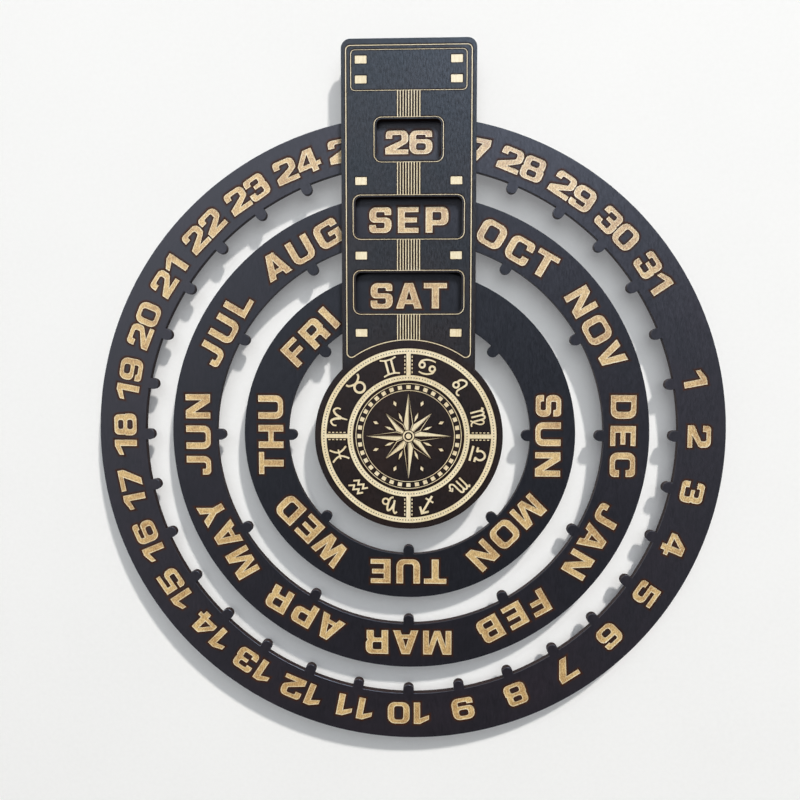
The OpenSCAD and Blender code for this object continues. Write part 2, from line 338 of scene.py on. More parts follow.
LETTERS: dict[str, Letter] = {
    "A": Letter(
        1.1, ((0, 0), (0.33, 0), (0.385, 0.17), (0.715, 0.17), (0.77, 0), (1.1, 0), (0.73, 1), (0.37, 1)),
        (((0.45, 0.36), (0.65, 0.36), (0.55, 0.68)),), SLANT_SIDE),
    "B": Letter(
        1.0, ((0, 0), (1, 0, 0.25), (1, 0.5, 0.14), (0.92, 0.53, 0.02), (0.97, 0.58, 0.1), (0.97, 1, 0.25),
              (0, 1)),
        (box(0.3, 0.2, 0.7, 0.41, 0.02, 0.07), box(0.3, 0.6, 0.67, 0.8, 0.02, 0.07))),
    "C": Letter(
        1.05, ((1.05, 0.62), (1.05, 1, 0.31), (0, 1, 0.31), (0, 0, 0.31), (1.05, 0, 0.31), (1.05, 0.38),
               (0.74, 0.38), (0.74, 0.215, 0.08), (0.31, 0.215, 0.1), (0.31, 0.785, 0.1),
               (0.74, 0.785, 0.08), (0.74, 0.62)), (), ROUND_SIDE),
    "D": Letter(
        1.0, ((0, 0), (1, 0, 0.32), (1, 1, 0.32), (0, 1)), (box(0.3, 0.215, 0.69, 0.785, 0.02, 0.12),)),
    "E": Letter(
        0.86, ((0, 0), (0.86, 0), (0.86, 0.215), (0.3, 0.215), (0.3, 0.395), (0.8, 0.395), (0.8, 0.605),
               (0.3, 0.605), (0.3, 0.785), (0.86, 0.785), (0.86, 1), (0, 1))),
    "F": Letter(
        0.82, ((0, 0), (0.3, 0), (0.3, 0.37), (0.76, 0.37), (0.76, 0.585), (0.3, 0.585), (0.3, 0.785),
               (0.82, 0.785), (0.82, 1), (0, 1))),
    "G": Letter(
        1.08, ((1.08, 0.67), (1.08, 1, 0.31), (0, 1, 0.31), (0, 0, 0.31), (1.08, 0, 0.2), (1.08, 0.56),
               (0.55, 0.56), (0.55, 0.37), (0.78, 0.37), (0.78, 0.215, 0.05), (0.31, 0.215, 0.1),
               (0.31, 0.785, 0.1), (0.77, 0.785, 0.06), (0.77, 0.67)), (), ROUND_SIDE),
    "H": Letter(
        1.0, ((0, 0), (0.3, 0), (0.3, 0.39), (0.7, 0.39), (0.7, 0), (1, 0), (1, 1), (0.7, 1), (0.7, 0.61),
              (0.3, 0.61), (0.3, 1), (0, 1))),
    "I": Letter(0.32, ((0, 0), (0.32, 0), (0.32, 1), (0, 1))),
    "J": Letter(
        0.82, ((0.52, 1), (0.52, 0.215, 0.08), (0.27, 0.215, 0.05), (0.27, 0.36), (0, 0.36), (0, 0, 0.3),
               (0.82, 0, 0.3), (0.82, 1))),
    "L": Letter(0.84, ((0, 0), (0.84, 0), (0.84, 0.215), (0.3, 0.215), (0.3, 1), (0, 1))),
    "M": Letter(
        1.22, ((0, 0), (0.26, 0), (0.26, 0.62), (0.48, 0), (0.74, 0), (0.96, 0.62), (0.96, 0), (1.22, 0),
               (1.22, 1), (0.84, 1), (0.61, 0.36), (0.38, 1), (0, 1))),
    "N": Letter(
        1.05, ((0, 0), (0.28, 0), (0.28, 0.6), (0.7, 0), (1.05, 0), (1.05, 1), (0.77, 1), (0.77, 0.4),
               (0.36, 1), (0, 1))),
    "O": Letter(
        1.12, box(0, 0, 1.12, 1, 0.33, 0.33), (box(0.31, 0.215, 0.81, 0.785, 0.12, 0.12),), ROUND_SIDE),
    "P": Letter(
        0.95, ((0, 0), (0.3, 0), (0.3, 0.285), (0.95, 0.285, 0.25), (0.95, 1, 0.25), (0, 1)),
        (box(0.3, 0.5, 0.645, 0.785, 0.02, 0.08),)),
    "R": Letter(
        0.98, ((0, 0), (0.3, 0), (0.3, 0.31), (0.62, 0.31, 0.07), (0.62, 0), (0.94, 0), (0.94, 0.34, 0.06),
               (0.9, 0.41, 0.02), (0.98, 0.5, 0.1), (0.98, 1, 0.26), (0, 1)),
        (box(0.3, 0.51, 0.67, 0.79, 0.02, 0.07),)),
    "S": Letter(
        0.93, ((0.92, 0.68), (0.92, 1, 0.28), (0, 1, 0.28), (0, 0.395, 0.22), (0.63, 0.395, 0.05),
               (0.63, 0.205, 0.05), (0.29, 0.205, 0.05), (0.29, 0.33), (0, 0.33), (0, 0, 0.28),
               (0.93, 0, 0.28), (0.93, 0.61, 0.22), (0.3, 0.61, 0.05), (0.3, 0.795, 0.05),
               (0.63, 0.795, 0.05), (0.63, 0.68)), (), ROUND_SIDE),
    "T": Letter(
        0.97, ((0.33, 0), (0.64, 0), (0.64, 0.775), (0.97, 0.775), (0.97, 1), (0, 1), (0, 0.775),
               (0.33, 0.775)), (), SLANT_SIDE),
    "U": Letter(
        1.02, ((0, 1), (0, 0, 0.31), (1.02, 0, 0.31), (1.02, 1), (0.72, 1), (0.72, 0.215, 0.1),
               (0.3, 0.215, 0.1), (0.3, 1))),
    "V": Letter(
        1.0, ((0, 1), (0.33, 1), (0.5, 0.36), (0.67, 1), (1, 1), (0.68, 0), (0.32, 0)), (), SLANT_SIDE),
    "W": Letter(
        1.36, ((0, 1), (0.21, 0), (0.53, 0), (0.68, 0.52), (0.83, 0), (1.15, 0), (1.36, 1), (1.06, 1),
               (0.975, 0.44), (0.82, 1), (0.54, 1), (0.385, 0.44), (0.3, 1)), (), SLANT_SIDE),
    "Y": Letter(
        1.04, ((0, 1), (0.36, 1), (0.52, 0.66), (0.68, 1), (1.04, 1), (0.675, 0.4), (0.675, 0), (0.365, 0),
               (0.365, 0.4)), (), SLANT_SIDE),
    "0": Letter(1.0, box(0, 0, 1, 1, 0.32, 0.32), (box(0.3, 0.2, 0.7, 0.8, 0.11, 0.11),), DIGIT_SIDE),
    "1": Letter(
        0.8, ((0.7, 0), (0.7, 1), (0.4, 1), (0, 0.79), (0, 0.57), (0.4, 0.72), (0.4, 0)), (), ONE_SIDE),
    "2": Letter(
        1.0, ((0, 0), (1, 0), (1, 0.225), (0.5, 0.225), (1, 0.5, 0.2), (1, 1, 0.34), (0.02, 1, 0.32),
              (0.02, 0.64), (0.31, 0.64), (0.31, 0.795, 0.05), (0.7, 0.795, 0.06), (0.7, 0.6, 0.05),
              (0, 0.29, 0.06)), (), DIGIT_SIDE),
    "3": Letter(
        0.98, ((0, 0.36), (0, 0, 0.26), (0.98, 0, 0.26), (0.98, 0.5, 0.15), (0.92, 0.53, 0.02),
               (0.96, 0.57, 0.12), (0.96, 1, 0.26), (0.02, 1, 0.26), (0.02, 0.66), (0.31, 0.66),
               (0.31, 0.8, 0.04), (0.67, 0.8, 0.05), (0.67, 0.62, 0.05), (0.36, 0.62), (0.36, 0.43),
               (0.68, 0.43, 0.05), (0.68, 0.205, 0.05), (0.3, 0.205, 0.04), (0.3, 0.36)), (), DIGIT_SIDE),
    "4": Letter(
        1.04, ((0.56, 0), (0.86, 0), (0.86, 0.19), (1.04, 0.19), (1.04, 0.4), (0.86, 0.4), (0.86, 1),
               (0.46, 1), (0, 0.43), (0, 0.19), (0.56, 0.19)),
        (((0.26, 0.4), (0.56, 0.4), (0.56, 0.76)),), DIGIT_SIDE),
    "5": Letter(
        1.0, ((0.03, 1), (0.03, 0.43), (0.7, 0.43, 0.05), (0.7, 0.205, 0.05), (0.3, 0.205, 0.04),
              (0.3, 0.33), (0, 0.33), (0, 0, 0.27), (1, 0, 0.28), (1, 0.64, 0.25), (0.31, 0.64),
              (0.31, 0.785), (0.96, 0.785), (0.96, 1)), (), DIGIT_SIDE),
    "6": Letter(1.0, SIX, (SIX_COUNTER,), DIGIT_SIDE),
    "7": Letter(
        0.98, ((0, 0.77), (0, 1), (0.98, 1), (0.98, 0.72), (0.49, 0), (0.13, 0), (0.6, 0.77)), (),
        DIGIT_SIDE),
    "8": Letter(
        1.0, ((0, 0, 0.26), (1, 0, 0.26), (1, 0.5, 0.18), (0.95, 0.53, 0.02), (0.97, 0.56, 0.14),
              (0.97, 1, 0.26), (0.03, 1, 0.26), (0.03, 0.56, 0.14), (0.05, 0.53, 0.02), (0, 0.5, 0.18)),
        (box(0.3, 0.19, 0.7, 0.41, 0.08, 0.08), box(0.31, 0.6, 0.69, 0.81, 0.08, 0.08)), DIGIT_SIDE),
    "9": Letter(1.0, NINE, (NINE_COUNTER,), DIGIT_SIDE),
}


def word(
    text: str, height: float, stretch: float, spacing: float, radius: float, angle: float
) -> list[Figure]:
    """Sets a straight word on a dial, with its top outwards.

    Args:
        text: the letters or digits.
        height: height of the letters.
        stretch: how much wider than drawn the letters are.
        spacing: room added between two letters, in letter heights.
        radius: radius at which the word's middle lies.
        angle: clockwise angle of the word's middle from the top, in degrees.

    Returns:
        One figure for each letter.
    """
    letters = [LETTERS[c] for c in text]
    starts = [0.0]
    for here, following in zip(letters, letters[1:]):
        starts.append(starts[-1] + here.width + here.side + following.side + spacing)
    middle = (starts[-1] + letters[-1].width) / 2
    place = upright(clock(radius, angle), angle, (height * stretch, height))
    figures: list[Figure] = []
    for letter, start in zip(letters, starts):
        shift = start - middle
        centred = letter.figure().placed(lambda p, s=shift: (p[0] + s, p[1] - 0.5))
        figures.append(centred.placed(place).thinned(LAYOUT.stroke_trim))
    return figures


def mirrored(line: Sequence[Point]) -> Loop:
    """Mirrors a line left to right."""
    return [(-x, y) for x, y in line]


def turned(line: Sequence[Point]) -> Loop:
    """Turns a line half round."""
    return [(-x, -y) for x, y in line]


class Sign(Enum):
    """The traditional signs of the zodiac, in their clockwise order on the disc."""

    CANCER = 0
    LEO = 1
    VIRGO = 2
    LIBRA = 3
    SCORPIO = 4
    SAGITTARIUS = 5
    CAPRICORN = 6
    AQUARIUS = 7
    PISCES = 8
    ARIES = 9
    TAURUS = 10
    GEMINI = 11

    def figures(self) -> list[Figure]:
        """Draws the sign as pen strokes in a box of size 1 round the origin."""
        return [stroke.figure() for stroke in SIGN_STROKES[self]]


class Stroke(NamedTuple):
    """One open pen stroke of a sign, which may taper."""

    line: Sequence[Point]
    width: float = 0.15
    end_width: float | None = None
    smooth: bool = True

    def figure(self) -> Figure:
        """Draws the stroke."""
        line = spline(self.line) if self.smooth else self.line
        return Figure((ribbon(line, self.width, self.end_width),))


class RoundStroke(NamedTuple):
    """One pen stroke of a sign that goes round a circle."""

    centre: Point
    radius: float
    width: float
    steps: int = 24

    def figure(self) -> Figure:
        """Draws the stroke."""
        edges = (self.radius + self.width / 2, self.radius - self.width / 2)
        return Figure(*((circle(radius, self.steps, self.centre),) for radius in edges))


def straight(start: Point, end: Point, width: float = 0.15, end_width: float | None = None) -> Stroke:
    """Gives a straight stroke."""
    return Stroke((start, end), width, end_width, False)


HORN = ((-0.49, 0.03), (-0.5, 0.25), (-0.33, 0.41), (-0.14, 0.25), (-0.02, -0.1))
CRAB_ARM = ((-0.45, 0.08), (-0.38, 0.27), (-0.1, 0.4), (0.18, 0.42), (0.42, 0.37))
WAVE = ((-0.48, 0.0), (-0.29, 0.26), (-0.15, 0.04), (0.06, 0.29), (0.2, 0.07), (0.43, 0.33))
BOW = ((-0.38, 0.5), (-0.2, 0.26), (-0.11, 0.0), (-0.2, -0.26), (-0.38, -0.5))
CAP_BAR = ((-0.48, 0.49), (-0.24, 0.42), (0.0, 0.4), (0.24, 0.42), (0.48, 0.49))
STEMS = (
    Stroke(((-0.52, 0.3), (-0.45, 0.4), (-0.38, 0.28), (-0.38, -0.06), (-0.38, -0.38)), 0.13),
    Stroke(((-0.38, 0.22), (-0.27, 0.38), (-0.15, 0.34), (-0.12, 0.14), (-0.12, -0.38)), 0.13),
    Stroke(((-0.12, 0.22), (-0.01, 0.38), (0.11, 0.34), (0.14, 0.14), (0.14, -0.14)), 0.13),
)

SIGN_STROKES: dict[Sign, tuple[Stroke | RoundStroke, ...]] = {
    Sign.CANCER: (
        Stroke(CRAB_ARM, 0.14, 0.11), Stroke(turned(CRAB_ARM), 0.14, 0.11),
        RoundStroke((-0.31, 0.04), 0.155, 0.145), RoundStroke((0.31, -0.04), 0.155, 0.145)),
    Sign.LEO: (
        Stroke(((-0.24, 0.0), (-0.2, 0.24), (-0.03, 0.39), (0.15, 0.41), (0.24, 0.28), (0.19, 0.02),
                (0.12, -0.24), (0.16, -0.4), (0.28, -0.46), (0.4, -0.4)), 0.15, 0.12),
        RoundStroke((-0.17, -0.11), 0.16, 0.14)),
    Sign.VIRGO: (
        *STEMS, Stroke(((0.14, -0.1), (0.15, -0.32), (0.26, -0.46), (0.42, -0.48)), 0.13, 0.1),
        Stroke(((0.15, 0.14), (0.28, 0.27), (0.4, 0.16), (0.34, -0.1), (0.04, -0.48)), 0.11)),
    Sign.LIBRA: (
        straight((-0.46, -0.38), (0.46, -0.38)), straight((-0.46, -0.1), (-0.15, -0.1)),
        straight((0.15, -0.1), (0.46, -0.1)),
        Stroke(((-0.17, -0.14), (-0.27, 0.1), (-0.19, 0.32), (0.0, 0.41), (0.19, 0.32), (0.27, 0.1),
                (0.17, -0.14)))),
    Sign.SCORPIO: (
        *STEMS, Stroke(((0.14, -0.1), (0.16, -0.32), (0.28, -0.43), (0.4, -0.36), (0.45, -0.18)), 0.13),
        straight((0.3, -0.22), (0.48, -0.05), 0.1), straight((0.45, -0.05), (0.57, -0.26), 0.1)),
    Sign.SAGITTARIUS: (
        straight((-0.43, -0.43), (0.38, 0.38)), straight((-0.02, 0.41), (0.48, 0.41)),
        straight((0.41, 0.48), (0.41, -0.02)), straight((-0.4, -0.02), (-0.02, -0.4), 0.13)),
    Sign.CAPRICORN: (
        Stroke(((-0.5, 0.28), (-0.4, 0.42), (-0.28, 0.26), (-0.23, -0.02), (-0.2, -0.34)), 0.12, 0.14),
        Stroke(((-0.21, -0.1), (-0.12, 0.22), (0.02, 0.36), (0.11, 0.2), (0.11, -0.16), (0.05, -0.38),
                (-0.1, -0.48)), 0.14),
        RoundStroke((0.29, -0.12), 0.17, 0.13)),
    Sign.AQUARIUS: tuple(
        Stroke([(x, y + rise) for x, y in WAVE], 0.13, None, False) for rise in (0.05, -0.35)),
    Sign.PISCES: (Stroke(BOW, 0.13), Stroke(mirrored(BOW), 0.13), straight((-0.3, 0.0), (0.3, 0.0), 0.12)),
    Sign.ARIES: (
        Stroke(HORN, 0.11, 0.17), Stroke(mirrored(HORN), 0.11, 0.17),
        straight((0.0, 0.04), (0.0, -0.5), 0.16, 0.09)),
    Sign.TAURUS: (
        Stroke(((-0.46, 0.49), (-0.36, 0.3), (0.0, 0.16), (0.36, 0.3), (0.46, 0.49)), 0.14),
        RoundStroke((0.0, -0.16), 0.3, 0.16)),
    Sign.GEMINI: (
        Stroke(CAP_BAR, 0.12), Stroke(turned(CAP_BAR), 0.12), straight((-0.165, 0.42), (-0.165, -0.42)),
        straight((0.165, 0.42), (0.165, -0.42))),
}


class SheetMaterial(Enum):
    """Material slots of an engraved sheet."""

    PAINT = 0
    ENGRAVING = 1
    SCORCH = 2
    CUT_EDGE = 3


class Cells(NamedTuple):
    """A triangulated drawing: points, triangles, the loops round each one and each point's sources."""

    points: list[Point]
    triangles: list[Sequence[int]]
    owners: list[set[int]]
    sources: list[Sequence[int]]


def triangulate(loops: Sequence[Loop], guides: Sequence[Loop] = ()) -> Cells:
    """Fills closed loops, which may nest and cross, with triangles.

    Args:
        loops: the closed outlines.
        guides: closed lines that the triangles' sides follow too.

    Returns:
        The triangles inside the loops' hull and which loops each one lies in.
    """
    coords: list[Vector] = []
    faces: list[list[int]] = []
    sides: list[tuple[int, int]] = []
    for loop in loops:
        first = len(coords)
        coords += [Vector(p) for p in anticlockwise(loop)]
        faces.append(list(range(first, len(coords))))
    for guide in guides:
        first, count = len(coords), len(guide)
        coords += [Vector(p) for p in guide]
        sides += [(first + k, first + (k + 1) % count) for k in range(count)]
    points, _, triangles, sources, _, owners = delaunay_2d_cdt(coords, sides, faces, 0, SAME_PLACE / 10)
    return Cells([(p.x, p.y) for p in points], triangles, [set(o) for o in owners], sources)


@dataclass
class EngravedSheet:
    """A plywood sheet with chamfered edges and figures engraved in its front face.

    Attributes:
        rim_w: width of the paler rim along the walls of an engraved floor.
        burn_w: width of the burnt paint round the figures.
        smoke_r: radius round the rings' axis within which all the paint is mixed towards the burnt finish,
            browner and less glossy.
        smoke: the least nearness that the paint gets there, 0 to 1.
    """

    outline: Loop
    holes: list[Loop]
    figures: list[Figure]
    back_y: float
    depth: float
    rim_w: float = 0.0
    burn_w: float = 0.0
    smoke_r: float = 0.0
    smoke: float = 0.0
    vertices: list[Place] = field(default_factory=list)
    faces: list[list[int]] = field(default_factory=list)
    slots: list[int] = field(default_factory=list)
    places: dict[Place, int] = field(default_factory=dict)
    walls: list[tuple[Point, Point]] = field(default_factory=list)

    def vertex(self, point: Point, y: float) -> int:
        """Finds the vertex at a place, or adds it.

        Args:
            point: its point in the drawing.
            y: how far back it lies in the model's frame.

        Returns:
            The number of the vertex.
        """
        key = (round(point[0], 3), round(y, 3), round(point[1], 3))
        if key not in self.places:
            self.places[key] = len(self.vertices)
            self.vertices.append((point[0] * MM, y * MM, (point[1] + LAYOUT.axis_z) * MM))
        return self.places[key]

    def face(self, corners: Sequence[int], slot: SheetMaterial) -> None:
        """Adds one face, unless its corners have merged.

        Args:
            corners: numbers of its vertices.
            slot: its material.
        """
        if len(set(corners)) == len(corners):
            self.faces.append(list(corners))
            self.slots.append(slot.value)

    def rims(self) -> list[Loop]:
        """Gives the outline and holes, and after them the same loops drawn in by the chamfer."""
        drawn_in = (offset(hole, LAYOUT.chamfer) for hole in self.holes)
        return [self.outline, *self.holes, offset(self.outline, -LAYOUT.chamfer), *drawn_in]

    def chamfers(self, cells: Cells) -> list[float]:
        """Gives how far each point of the drawing lies behind the face: the chamfer at the edges, or 0."""
        count = sum(len(loop) for loop in (self.outline, *self.holes))
        return [LAYOUT.chamfer if any(s < count for s in source) else 0.0 for source in cells.sources]

    def solid(self, owners: set[int]) -> bool:
        """Says whether a triangle in these loops is wood and not outside or in a hole."""
        return 0 in owners and not any(1 + i in owners for i in range(len(self.holes)))

    def build(self, name: str) -> bpy.types.Mesh:
        """Makes the closed mesh of the sheet.

        Args:
            name: name of the mesh.

        Returns:
            The mesh, with material numbers as SheetMaterial has them.
        """
        self.build_front()
        self.build_back()
        mesh = bpy.data.meshes.new(name)
        mesh.from_pydata(self.vertices, [], self.faces)
        mesh.polygons.foreach_set("material_index", self.slots)
        mesh.polygons.foreach_set("use_smooth", [True] * len(self.faces))
        mesh.set_sharp_from_angle(angle=SHEET_CREASE)
        nearness = mesh.attributes.new(SHORE, "FLOAT", "POINT")
        nearness.data.foreach_set("value", self.nearness())
        mesh.update()
        return mesh

    def nearness(self) -> list[float]:
        """Gives each vertex its nearness to an engraving's wall.

        Returns:
            1 at a wall, down to 0 where the rim of the engraved floor or the burnt paint round it ends.
            Within smoke_r of the axis it is nowhere below smoke, which makes the paint there browner and less
            glossy.
        """
        points: list[Point] = []
        for a, b in self.walls:
            count = 1 + int(math.dist(a, b) / WALL_STEP)
            steps = [k / count for k in range(count)]
            points += [(a[0] + (b[0] - a[0]) * k, a[1] + (b[1] - a[1]) * k) for k in steps]
        tree = KDTree(len(points))
        for number, (x, h) in enumerate(points):
            tree.insert((x, 0.0, h), number)
        tree.balance()
        floor = self.back_y - LAYOUT.ply + self.depth
        result: list[float] = []
        for vertex in self.vertices:
            x, y, h = vertex[0] / MM, vertex[1] / MM, vertex[2] / MM - LAYOUT.axis_z
            width = self.rim_w if abs(y - floor) < SAME_PLACE else self.burn_w
            gap = tree.find((x, 0.0, h))[2]
            # paint near the axis, on the disc, is mixed towards the burnt finish all over: browner and less
            # glossy
            toned = self.smoke if math.hypot(x, h) < self.smoke_r else 0.0
            result.append(max(toned, 1.0 - gap / width) if width else 0.0)
        return result

    def guides(self) -> list[Loop]:
        """Draws the lines at which the rims inside the figures and the burnt paint round them end.

        Returns:
            Closed lines, for the triangles to follow.
        """
        lines: list[Loop] = []
        for width in (-self.rim_w, self.burn_w):
            if width:
                lines += [offset(loop, width) for figure in self.figures for loop in figure.cuts]
                lines += [offset(loop, -width) for figure in self.figures for loop in figure.keeps]
        return lines

    def build_front(self) -> None:
        """Makes the painted face, the engraved floors, their walls and the sheet's cut edge."""
        loops = self.rims()
        spans: list[tuple[range, range]] = []
        for figure in self.figures:
            first = len(loops)
            loops += [*figure.cuts, *figure.keeps]
            split = first + len(figure.cuts)
            spans.append((range(first, split), range(split, len(loops))))
        figure_of = {i: n for n, (cut, keep) in enumerate(spans) for i in (*cut, *keep)}
        cells = triangulate(loops, self.guides())
        front = self.back_y - LAYOUT.ply
        floor = front + self.depth
        low = [front + drop for drop in self.chamfers(cells)]

        def engraved(owners: set[int]) -> bool:
            """Says whether a triangle is engraved.

            Args:
                owners: numbers of the loops that it lies in.

            Returns:
                Whether it lies in a cut of some figure and in none of that figure's islands.
            """
            for n in {figure_of[i] for i in owners if i in figure_of}:
                cut, keep = spans[n]
                if any(i in owners for i in cut) and not any(i in owners for i in keep):
                    return True
            return False

        kinds = [None if not self.solid(o) else engraved(o) for o in cells.owners]
        beside = {
            (t[k], t[(k + 1) % 3]): kind for t, kind in zip(cells.triangles, kinds) for k in range(3)
        }
        for triangle, kind in zip(cells.triangles, kinds):
            if kind is None:
                continue
            level = [floor if kind else low[i] for i in triangle]
            corners = [self.vertex(cells.points[i], y) for i, y in zip(triangle, level)]
            self.face(corners, SheetMaterial.ENGRAVING if kind else SheetMaterial.PAINT)
            if kind:
                continue
            for k in range(3):
                a, b = triangle[k], triangle[(k + 1) % 3]
                other = beside.get((b, a))
                if other is False:
                    continue
                foot = floor if other else self.back_y - LAYOUT.chamfer
                pa, pb = cells.points[a], cells.points[b]
                wall = [(pb, low[b]), (pa, low[a]), (pa, foot), (pb, foot)]
                slot = SheetMaterial.SCORCH if other else SheetMaterial.CUT_EDGE
                self.face([self.vertex(p, y) for p, y in wall], slot)
                if other:
                    self.walls.append((pa, pb))

    def build_back(self) -> None:
        """Makes the plain back face with its chamfer."""
        cells = triangulate(self.rims())
        drops = self.chamfers(cells)
        for triangle, owners in zip(cells.triangles, cells.owners):
            if self.solid(owners):
                corners = [self.vertex(cells.points[i], self.back_y - drops[i]) for i in reversed(triangle)]
                self.face(corners, SheetMaterial.PAINT)


class NodePen:
    """Adds nodes to one node tree and links them."""

    def __init__(self, tree: bpy.types.NodeTree) -> None:
        """Keeps the tree that the pen writes in."""
        self.tree = tree

    def add(
        self, kind: str, inputs: dict[str | int, object] | None = None, **settings: object
    ) -> bpy.types.Node:
        """Adds one node.

        Args:
            kind: Blender's name of the node type.
            inputs: value or source socket for each input, by name or number.
            **settings: properties of the node itself.

        Returns:
            The new node.
        """
        node = self.tree.nodes.new(kind)
        for key, value in settings.items():
            setattr(node, key, value)
        for key, value in (inputs or {}).items():
            if isinstance(value, Socket):
                self.tree.links.new(value, node.inputs[key])
            else:
                node.inputs[key].default_value = value
        return node

    def out(self, kind: str, inputs: dict[str | int, object] | None = None, **settings: object) -> Socket:
        """Adds one node and gives its first output."""
        return self.add(kind, inputs, **settings).outputs[0]

    def math(self, operation: str, *values: object) -> Socket:
        """Adds a Math node and gives its result."""
        return self.out("ShaderNodeMath", dict(enumerate(values)), operation=operation)

    def span(self, value: Socket, low: float, high: float, start: float = 0.0, end: float = 1.0) -> Socket:
        """Stretches a value so that low becomes start and high becomes end, and clamps it."""
        inputs = {"Value": value, "From Min": low, "From Max": high, "To Min": start, "To Max": end}
        return self.out("ShaderNodeMapRange", inputs)

    def mix(self, share: object, first: object, second: object) -> Socket:
        """Mixes two colours by a share."""
        node = self.add("ShaderNodeMix", {0: share, 6: first, 7: second}, data_type="RGBA")
        return node.outputs[2]


class Pattern(Enum):
    """What the fine structure of a finish looks like."""

    GRAIN = "grain"
    PLIES = "plies"
    SPECKS = "specks"


FINE_NOISE = {"Detail": 5.0, "Roughness": 0.6, "Distortion": 0.3}
BROAD_NOISE = {"Detail": 3.0}
BROAD_FEATURES = 28  # size of a broad blotch, in features
PLY_LAYER = 1.333  # thickness of one layer of the plywood
WAVE_FACTOR = 20  # what a Wave texture multiplies its coordinate by
PLY_WAVE = {
    "Scale": math.tau / (WAVE_FACTOR * PLY_LAYER * MM), "Distortion": 1.2, "Detail": 2.0, "Detail Scale": 3.0
}
PLY_SHARE = 0.6  # part of the layers in the pattern of a cut edge
BUMP_DISTANCE = 0.2 * MM


class Surface(NamedTuple):
    """Colour, roughness and height of a finish as sockets."""

    colour: Socket
    roughness: Socket
    height: Socket


@dataclass(frozen=True)
class Finish:
    """A surface finish: two colours mixed by a fine pattern, with roughness and bump from it.

    Attributes:
        feature: size of the pattern's features, in millimetres.
        roughness: lowest and highest roughness.
        blotch: share of the broad blotches in the colour, 0 to 1.
        along: how much the grain is drawn out upwards, less for longer streaks.
        softness: half the span of the noise that goes from one colour to the other.
    """

    name: str
    dark: Colour
    light: Colour
    pattern: Pattern
    feature: float
    roughness: Point
    bump: float
    metallic: float = 0.0
    specular: float = 0.5
    blotch: float = 0.35
    along: float = 0.03
    softness: float = 0.2
    sheen_tint: Colour = WHITE

    def surface(self, pen: NodePen) -> Surface:
        """Draws the pattern.

        Args:
            pen: pen on the material's tree.

        Returns:
            The finish's colour, roughness and height.
        """
        place = pen.add("ShaderNodeTexCoord").outputs["Object"]
        stretch = (1.0, 1.0, self.along if self.pattern is Pattern.GRAIN else 1.0)
        streaked = pen.out("ShaderNodeMapping", {"Vector": place, "Scale": stretch})
        fine_scale, broad_scale = 1 / (self.feature * MM), 1 / (BROAD_FEATURES * self.feature * MM)
        fine = pen.out("ShaderNodeTexNoise", {"Vector": streaked, "Scale": fine_scale, **FINE_NOISE})
        broad = pen.out("ShaderNodeTexNoise", {"Vector": place, "Scale": broad_scale, **BROAD_NOISE})
        height = fine
        if self.pattern is Pattern.PLIES:
            wave = pen.add("ShaderNodeTexWave", {"Vector": place, **PLY_WAVE}, bands_direction="Y")
            layers = pen.math("MULTIPLY", wave.outputs["Fac"], PLY_SHARE)
            height = pen.math("ADD", layers, pen.math("MULTIPLY", fine, 1 - PLY_SHARE))
        low, high = 0.5 - self.softness, 0.5 + self.softness
        tone = pen.math(
            "ADD",
            pen.math("MULTIPLY", pen.span(height, low, high), 1 - self.blotch),
            pen.math("MULTIPLY", pen.span(broad, low, high), self.blotch),
        )
        rough = pen.span(height, low, high, *self.roughness)
        return Surface(pen.mix(tone, self.dark, self.light), rough, height)

    def material(self) -> bpy.types.Material:
        """Makes the material of this finish alone.

        Returns:
            The new material.
        """
        material, pen = new_material(self.name)
        principled(pen, self, self.surface(pen))
        return material


def new_material(name: str) -> tuple[bpy.types.Material, NodePen]:
    """Makes an empty node material.

    Args:
        name: name of the material.

    Returns:
        The material and a pen on its tree.
    """
    material = bpy.data.materials.new(name)
    material.use_nodes = True
    material.node_tree.nodes.clear()
    return material, NodePen(material.node_tree)


def principled(pen: NodePen, finish: Finish, surface: Surface, gloss: Socket | None = None) -> None:
    """Ends a material in a Principled shader.

    Args:
        pen: pen on the material's tree.
        finish: finish whose constant values the shader takes.
        surface: colour, roughness and height.
        gloss: strength of the reflection, if it is not the finish's own.
    """
    relief = {"Height": surface.height, "Strength": finish.bump, "Distance": BUMP_DISTANCE}
    bump = pen.out("ShaderNodeBump", relief)
    level = finish.specular if gloss is None else gloss
    shader = pen.out(
        "ShaderNodeBsdfPrincipled",
        {"Base Color": surface.colour, "Roughness": surface.roughness, "Metallic": finish.metallic,
         "Specular IOR Level": level, "Specular Tint": finish.sheen_tint, "Normal": bump},
    )
    pen.add("ShaderNodeOutputMaterial", {"Surface": shader})


RIM_SPAN = (0.3, 0.95, 0.0, 1.0)  # from nearness to the second finish's share
BURN_SPAN = (0.0, 0.8, 1.0, 0.1)
FACE_LEAN = 0.5  # a normal with more than this along y is a face's


class Blend(Enum):
    """How the two finishes of one material share its surface."""

    EDGE_TO_FACE = "by the way the surface points"
    FLOOR_TO_RIM = "by the nearness of an engraving's wall"
    BURN_TO_PAINT = "by the distance from an engraving's wall"

    def share(self, pen: NodePen) -> Socket:
        """Gives the share of the second finish.

        Args:
            pen: pen on the material's tree.

        Returns:
            A value from 0 to 1.
        """
        if self is Blend.EDGE_TO_FACE:
            normal = pen.add("ShaderNodeTexCoord").outputs["Normal"]
            depthwise = pen.add("ShaderNodeSeparateXYZ", {0: normal}).outputs["Y"]
            return pen.math("GREATER_THAN", pen.math("ABSOLUTE", depthwise), FACE_LEAN)
        nearness = pen.add("ShaderNodeAttribute", attribute_name=SHORE).outputs["Fac"]
        return pen.span(nearness, *(BURN_SPAN if self is Blend.BURN_TO_PAINT else RIM_SPAN))


